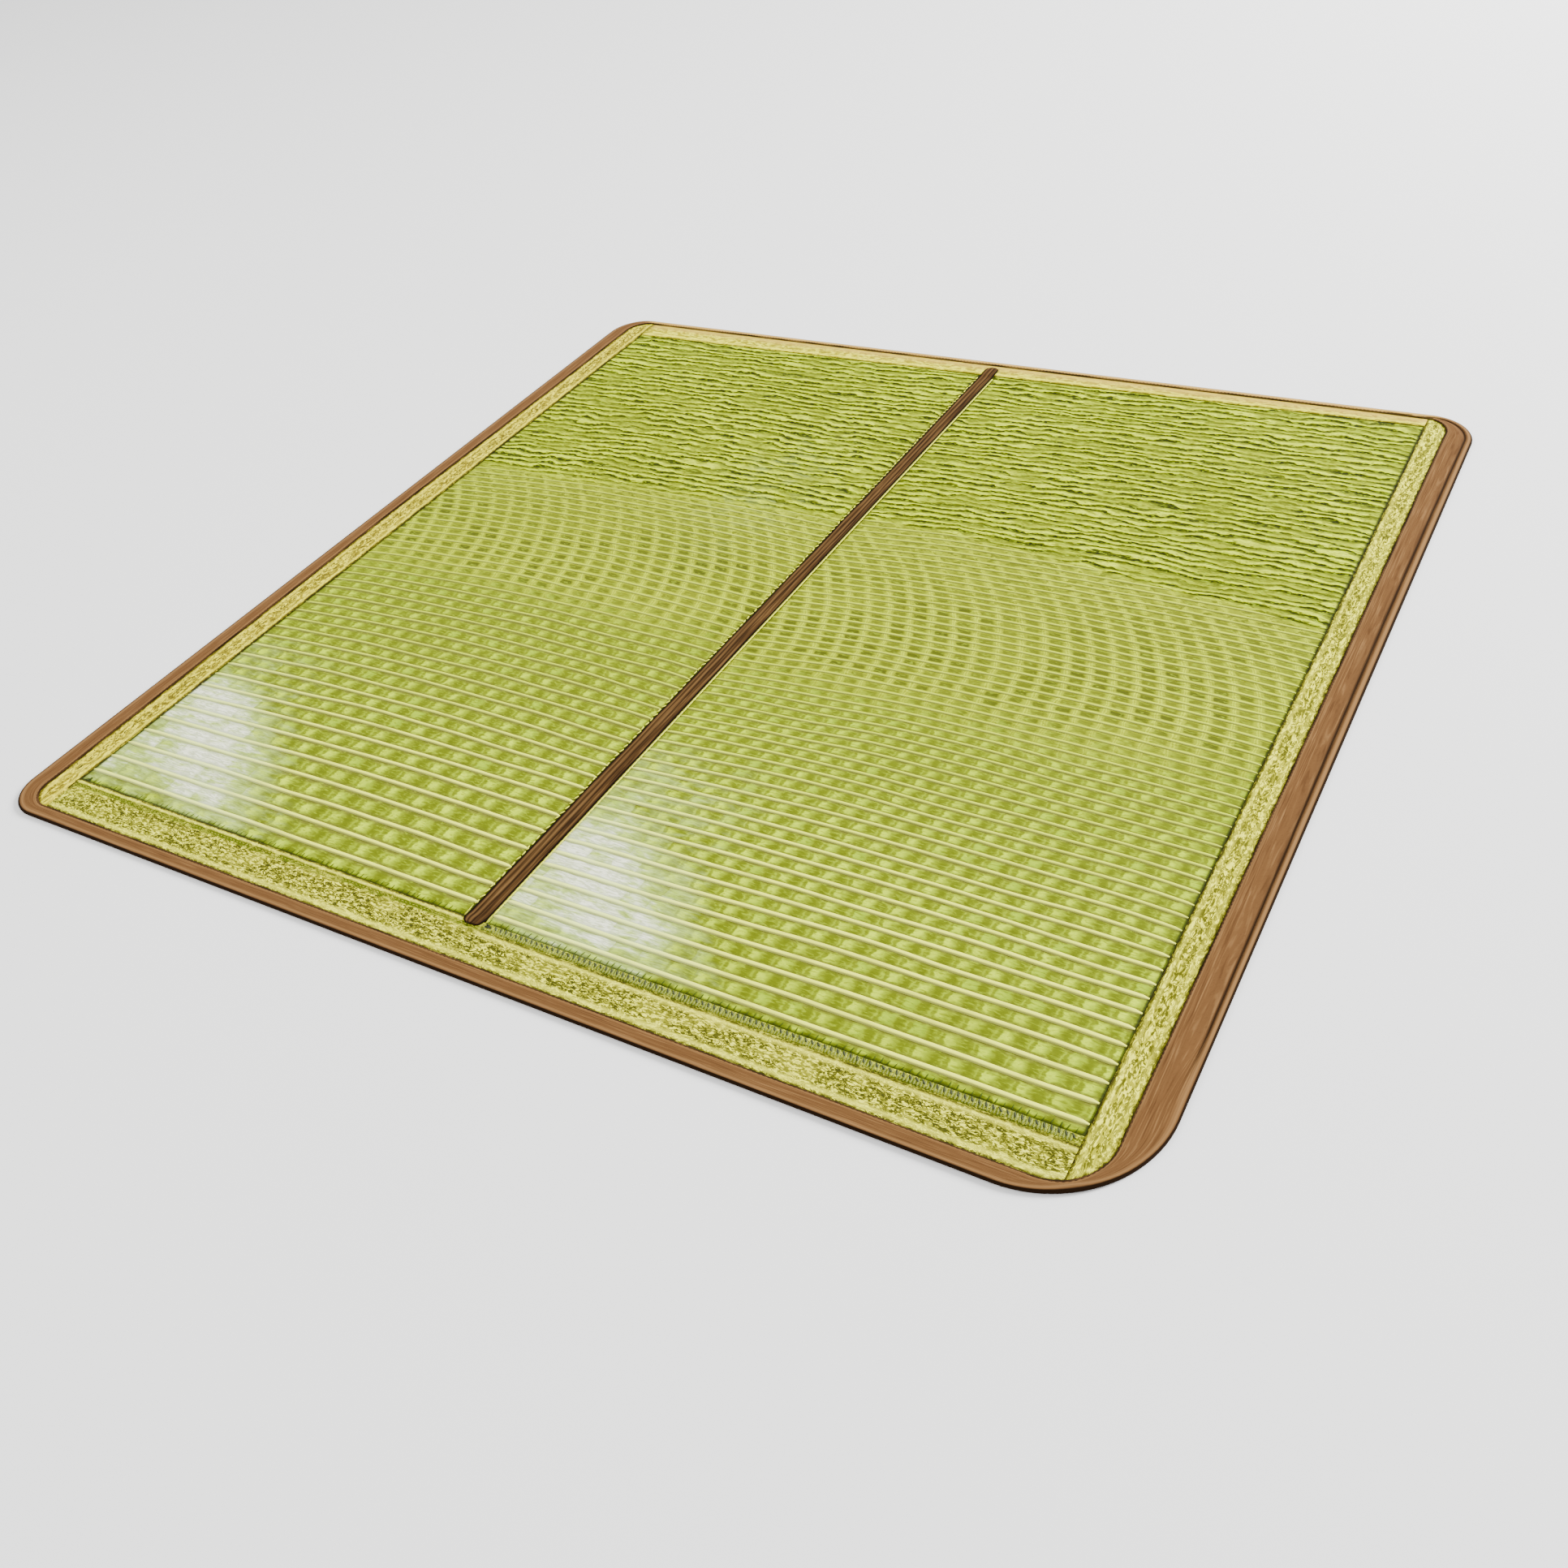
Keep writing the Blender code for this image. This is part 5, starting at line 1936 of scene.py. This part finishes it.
@dataclass
class CentreStrip:
    """The brown strip over the seam, with its long ridges and the thread along its sides."""

    cloth: float = 0.0013
    crown: float = 0.0007
    end: float = 0.014
    tip: float = 0.45
    climb: float = 0.009
    clear: float = 0.001
    narrowing: tuple = (0.97, 0.82)
    ridge_height: float = 0.00022
    light_height: float = 0.00030
    furrow_depth: float = 0.00032
    left_stitch: tuple = (0.0105, 0.0032, 0.0017)
    right_stitch: tuple = (0.0150, 0.0044, 0.0017)
    columns: int = 34
    lines: int = 300

    def build(self) -> list[Piece]:
        """Build the strip and the thread along both sides.

        Returns:
            The pieces.
        """
        strip = self.build_strip()
        threads = [self.build_selvedge(side) for side in Side]
        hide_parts("centre_strip")
        return [strip, *threads]

    def level(self, along: Array) -> Array:
        """Find what the strip lies on: the weave, or the cream cloth at its ends.

        Args:
            along: Places along the mat.

        Returns:
            Heights.
        """
        back = float(PLAN.back_of_field(PLAN.strip_back_across))
        to_cloth = np.minimum(along - PLAN.field_front, back - along) - self.clear
        lift = 1 - np.clip(to_cloth / self.climb, 0.0, 1.0)
        return mix(PLAN.panel_top, PLAN.border_top + 0.0003, lift) + GAP

    def half_width(self, along: Array) -> Array:
        """Return half the strip's width, which shrinks a little towards the back."""
        return PLAN.strip_width / 2 * mix(*self.narrowing, smooth(0.10, 1.60, along))

    def build_strip(self) -> Piece:
        """Build the ridged strip.

        Returns:
            The strip.
        """
        strip = Grid("centre_tape", self.columns, self.lines)
        share = 2 * strip.column / self.columns - 1
        even = strip.line / self.lines
        along = mix(PLAN.strip_front, PLAN.strip_back, mix(even, 0.5 - 0.5 * np.cos(math.pi * even), 0.35))
        to_end = np.clip(np.minimum(along - PLAN.strip_front, PLAN.strip_back - along) / self.end, 0.0, 1.0)
        rounding = np.sqrt(np.maximum(0.0, 1 - (1 - to_end) ** 2))
        half = self.half_width(along) * mix(self.tip, 1.0, rounding)
        wobble = 0.0007 * Unevenness(91, 0.05, 0.06).at(along, np.sign(share))
        drift = 0.18 * Unevenness(97, 0.24, 0.5).at(along, share * 0.2)
        ridges = np.cos((share + drift) * 3.2 * math.pi) * self.ridge_height
        light = bell(-0.12, 0.12, share + drift)
        furrow = np.maximum(bell(0.16, 0.09, share + drift), 0.7 * bell(-0.42, 0.09, share + drift))
        height = (self.level(along) + self.cloth + self.crown * (1 - share**4) + ridges
                  + self.light_height * light - self.furrow_depth * furrow)
        strip.lay(PLAN.at(PLAN.seam(along) + share * (half + wobble), along, height))
        corner, _ = strip.corners()
        strip.add_map("strip", along[corner], (share * PLAN.strip_width / 2)[corner])
        # Painted shade along the strip's sides, at its tips and in its furrows; painted highlights on the
        # raised middle ridge and on a line near the left side.
        side = smooth(0.26, 0.14, 1 - np.abs(share)) * 0.97
        tip = smooth(0.22, 0.10, to_end) * 0.9
        dark = np.maximum(np.maximum(side, tip), 0.8 * furrow)
        pale = 0.9 * np.maximum(light, bell(-0.60, 0.08, share))
        strip.add_numbers("darkening", np.clip(dark, 0.0, 1.0), pale)
        strip.face(up=True)
        piece = show(strip.name, strip.mesh, "dark_tape", Finish.SPINE)
        thicken(piece, self.cloth)
        return piece

    def build_selvedge(self, side: Side) -> Piece:
        """Sew the pale stitches along one side: a rough chain at the left, a fine line at the right.

        Args:
            side: The strip's side.

        Returns:
            The stitches.
        """
        left = side is Side.LEFT
        out = -1 if left else 1
        pitch = 0.0125 if left else 0.0100
        along = np.arange(PLAN.field_front + 0.006, PLAN.field_back_at_left - 0.004, pitch)
        wobble = Unevenness(101 if left else 103, 0.013, 0.5)
        jitter = wobble.at(along, along * 0)
        beside = 0.0030 + 0.0009 * jitter if left else 0.0024
        across = PLAN.seam(along) + out * (self.half_width(along) + beside)
        turn = 0.40 * wobble.at(along * 1.7, along * 0) - 0.20 if left else 0.05 * jitter
        headings = math.pi / 2 + turn
        points = PLAN.at(across, along, PLAN.panel_top + 0.0011)
        size = self.left_stitch if left else self.right_stitch
        run = StitchRun(f"selvedge_{side.value}", "dark_tape", Finish.SELVEDGE_THREAD, *size)
        return run.sew(points, headings)


@dataclass
class Sewing:
    """The stitches of the cream borders and the overlock along the right panel's front."""

    pitch: float = 0.0072
    tick_pitch: float = 0.0105
    tick_gap: tuple = (0.944, 0.992)
    hem_end: float = 0.982
    dots: tuple = (0.120, 1.880, 0.0098)
    dots_out: tuple = (0.028, 0.041)
    loops: tuple = (0.990, 1.896, 0.0047)
    slants: tuple = (0.992, 1.896, 0.0094)

    def build(self) -> list[Piece]:
        """Sew every line.

        Returns:
            The joined stitches of each line.
        """
        return [self.hem_line(), self.side_line(), self.front_ticks(), *self.overlock()]

    def hem_line(self) -> Piece:
        """Sew along the front border's turned hem, as far as the centre strip.

        Returns:
            The stitches.
        """
        across = np.arange(PLAN.field_left, self.hem_end, self.pitch)
        along = np.full(across.shape, PLAN.field_front - CreamBorder.hem_width)
        run = StitchRun("hem_stitches_front", "cream_cloth", Finish.CREAM_THREAD, 0.0046, 0.0010, 0.0008)
        return run.sew(PLAN.at(across, along, PLAN.border_top - 0.0001), np.zeros(across.shape))

    def side_line(self) -> Piece:
        """Sew two dotted lines down the left border, as uneven as by hand.

        Returns:
            The stitches.
        """
        along = np.tile(np.arange(*self.dots), 2)
        number = np.arange(len(along))
        uneven = uneven_along(173, 1.0, number)
        out = np.where(number < len(along) // 2, *self.dots_out) - 0.004 * smooth(0.6, 1.0, along)
        across = PLAN.field_left - out + 0.0012 * uneven
        run = StitchRun("side_stitches_left", "cream_cloth", Finish.DARK_THREAD, 0.0040, 0.0018, 0.0008)
        shown = (uneven > -0.35) & (PLAN.field_left - out > PLAN.tape_edge(Edge.LEFT, along) + 0.006)
        points = PLAN.at(across, along, PLAN.border_top + 0.0001)
        return run.sew(points[shown], (math.radians(110) + 0.8 * uneven)[shown])

    def front_ticks(self) -> Piece:
        """Sew the short dark stitches that hold the weave's front edge.

        Returns:
            The stitches.
        """
        stop, go_on = self.tick_gap
        across = np.concatenate([np.arange(PLAN.field_left + 0.010, stop, self.tick_pitch),
                                 np.arange(go_on, PLAN.field_right - 0.008, self.tick_pitch)])
        uneven = uneven_along(177, 0.012, across)
        points = PLAN.at(across + 0.001 * uneven, PLAN.field_front + 0.0062, PLAN.panel_top + 0.0009)
        run = StitchRun("front_edge_stitches", "bamboo_weave", Finish.OLIVE_THREAD, 0.0085, 0.0018, 0.0010)
        return run.sew(points, math.radians(84) + 0.2 * uneven)

    def overlock(self) -> list[Piece]:
        """Bind the right panel's front edge: green loops side by side with dark slanting stitches.

        Returns:
            The loops and the slanting stitches.
        """
        across = np.arange(*self.loops)
        uneven = uneven_along(171, 0.011, across)
        points = PLAN.at(across, PLAN.field_front - 0.0072, PLAN.border_top + 0.0004)
        loops = StitchRun("overlock_loops", "cream_cloth", Finish.GREEN_THREAD, 0.0132, 0.0042, 0.0014)
        pieces = [loops.sew(points, math.radians(96) + 0.10 * uneven)]
        across = np.arange(*self.slants)
        uneven = uneven_along(179, 0.011, across)
        points = PLAN.at(across, PLAN.field_front - 0.0048, PLAN.border_top + 0.0010)
        ticks = StitchRun("overlock_ticks", "cream_cloth", Finish.DARK_THREAD, 0.0090, 0.0030, 0.0013)
        return pieces + [ticks.sew(points, math.radians(126) + 0.30 * uneven)]


@dataclass
class Studio:
    """The pale floor, the soft lights and the camera."""

    camera_place: tuple = (1.2979, -1.9017, 1.5293)
    camera_aim: tuple = (0.2466, -0.4379, 0.0)
    camera_roll_degrees: float = -9.6554
    lens_mm: float = 34.6995
    sensor_mm: float = 36.0
    sky_strength: float = 1.15
    floor_half: float = 30.0
    floor_drop: float = 0.0004
    key: tuple = ((6.8, 7.4, 5.1), 4.0, 4000.0)
    fill: tuple = ((-4.5, -4.5, 5.0), 3.6, 260.0)

    def build(self) -> None:
        """Build the studio."""
        self.floor()
        self.lamp("key", *self.key)
        self.lamp("fill", *self.fill)
        self.sky()
        self.camera()

    def floor(self) -> None:
        """Lay the floor."""
        mesh = bpy.data.meshes.new("floor")
        with edited(mesh) as bm:
            bmesh.ops.create_grid(bm, x_segments=1, y_segments=1, size=self.floor_half,
                                  matrix=Matrix.Translation((0.0, 0.0, -self.floor_drop)))
        floor = into_scene("floor", mesh)
        WARDROBE.dress(floor, Finish.FLOOR)

    def lamp(self, name: str, place: tuple, size: float, power: float) -> None:
        """Hang a square soft light that shines at the mat's middle.

        Args:
            name: The lamp's name.
            place: Where it hangs.
            size: Length of its sides.
            power: Its power in watts.
        """
        data = bpy.data.lights.new(name, "AREA")
        data.size = size
        data.energy = power
        lamp = into_scene(name, data)
        lamp.location = place
        lamp.rotation_mode = "QUATERNION"
        lamp.rotation_quaternion = (-Vector(place)).to_track_quat("-Z", "Y")

    def sky(self) -> None:
        """Fill the room with even pale light."""
        world = bpy.data.worlds.new("studio")
        world.use_nodes = True
        background = world.node_tree.nodes["Background"]
        background.inputs["Color"].default_value = (1.0, 1.0, 1.0, 1.0)
        background.inputs["Strength"].default_value = self.sky_strength
        bpy.context.scene.world = world

    def camera(self) -> None:
        """Set the camera at the photograph's angle."""
        data = bpy.data.cameras.new("camera")
        data.lens = self.lens_mm
        data.sensor_width = self.sensor_mm
        camera = into_scene("camera", data)
        camera.location = self.camera_place
        aim = Vector(self.camera_aim) - Vector(self.camera_place)
        level = aim.to_track_quat("-Z", "Y").to_matrix()
        roll = Matrix.Rotation(math.radians(self.camera_roll_degrees), 3, "Z")
        camera.rotation_mode = "QUATERNION"
        camera.rotation_quaternion = (level @ roll).to_quaternion()
        bpy.context.scene.camera = camera


def main() -> None:
    """Build the mat and the studio, and report each piece."""
    logging.basicConfig(level=logging.INFO, format="%(message)s")
    Studio().build()
    pieces = []
    for side in Side:
        pieces += WovenPanel(side).build()
    for edge in Edge:
        pieces += [CreamBorder(edge).build(), CreamBorder(edge, under=True).build()]
    pieces += BindingTape().build()
    pieces += CentreStrip().build()
    pieces += Sewing().build()
    pieces += CornerStraps().build()
    for piece in pieces:
        LOG.info("%s: %d faces", piece.name, len(piece.data.polygons))


if __name__ == "__main__":
    main()
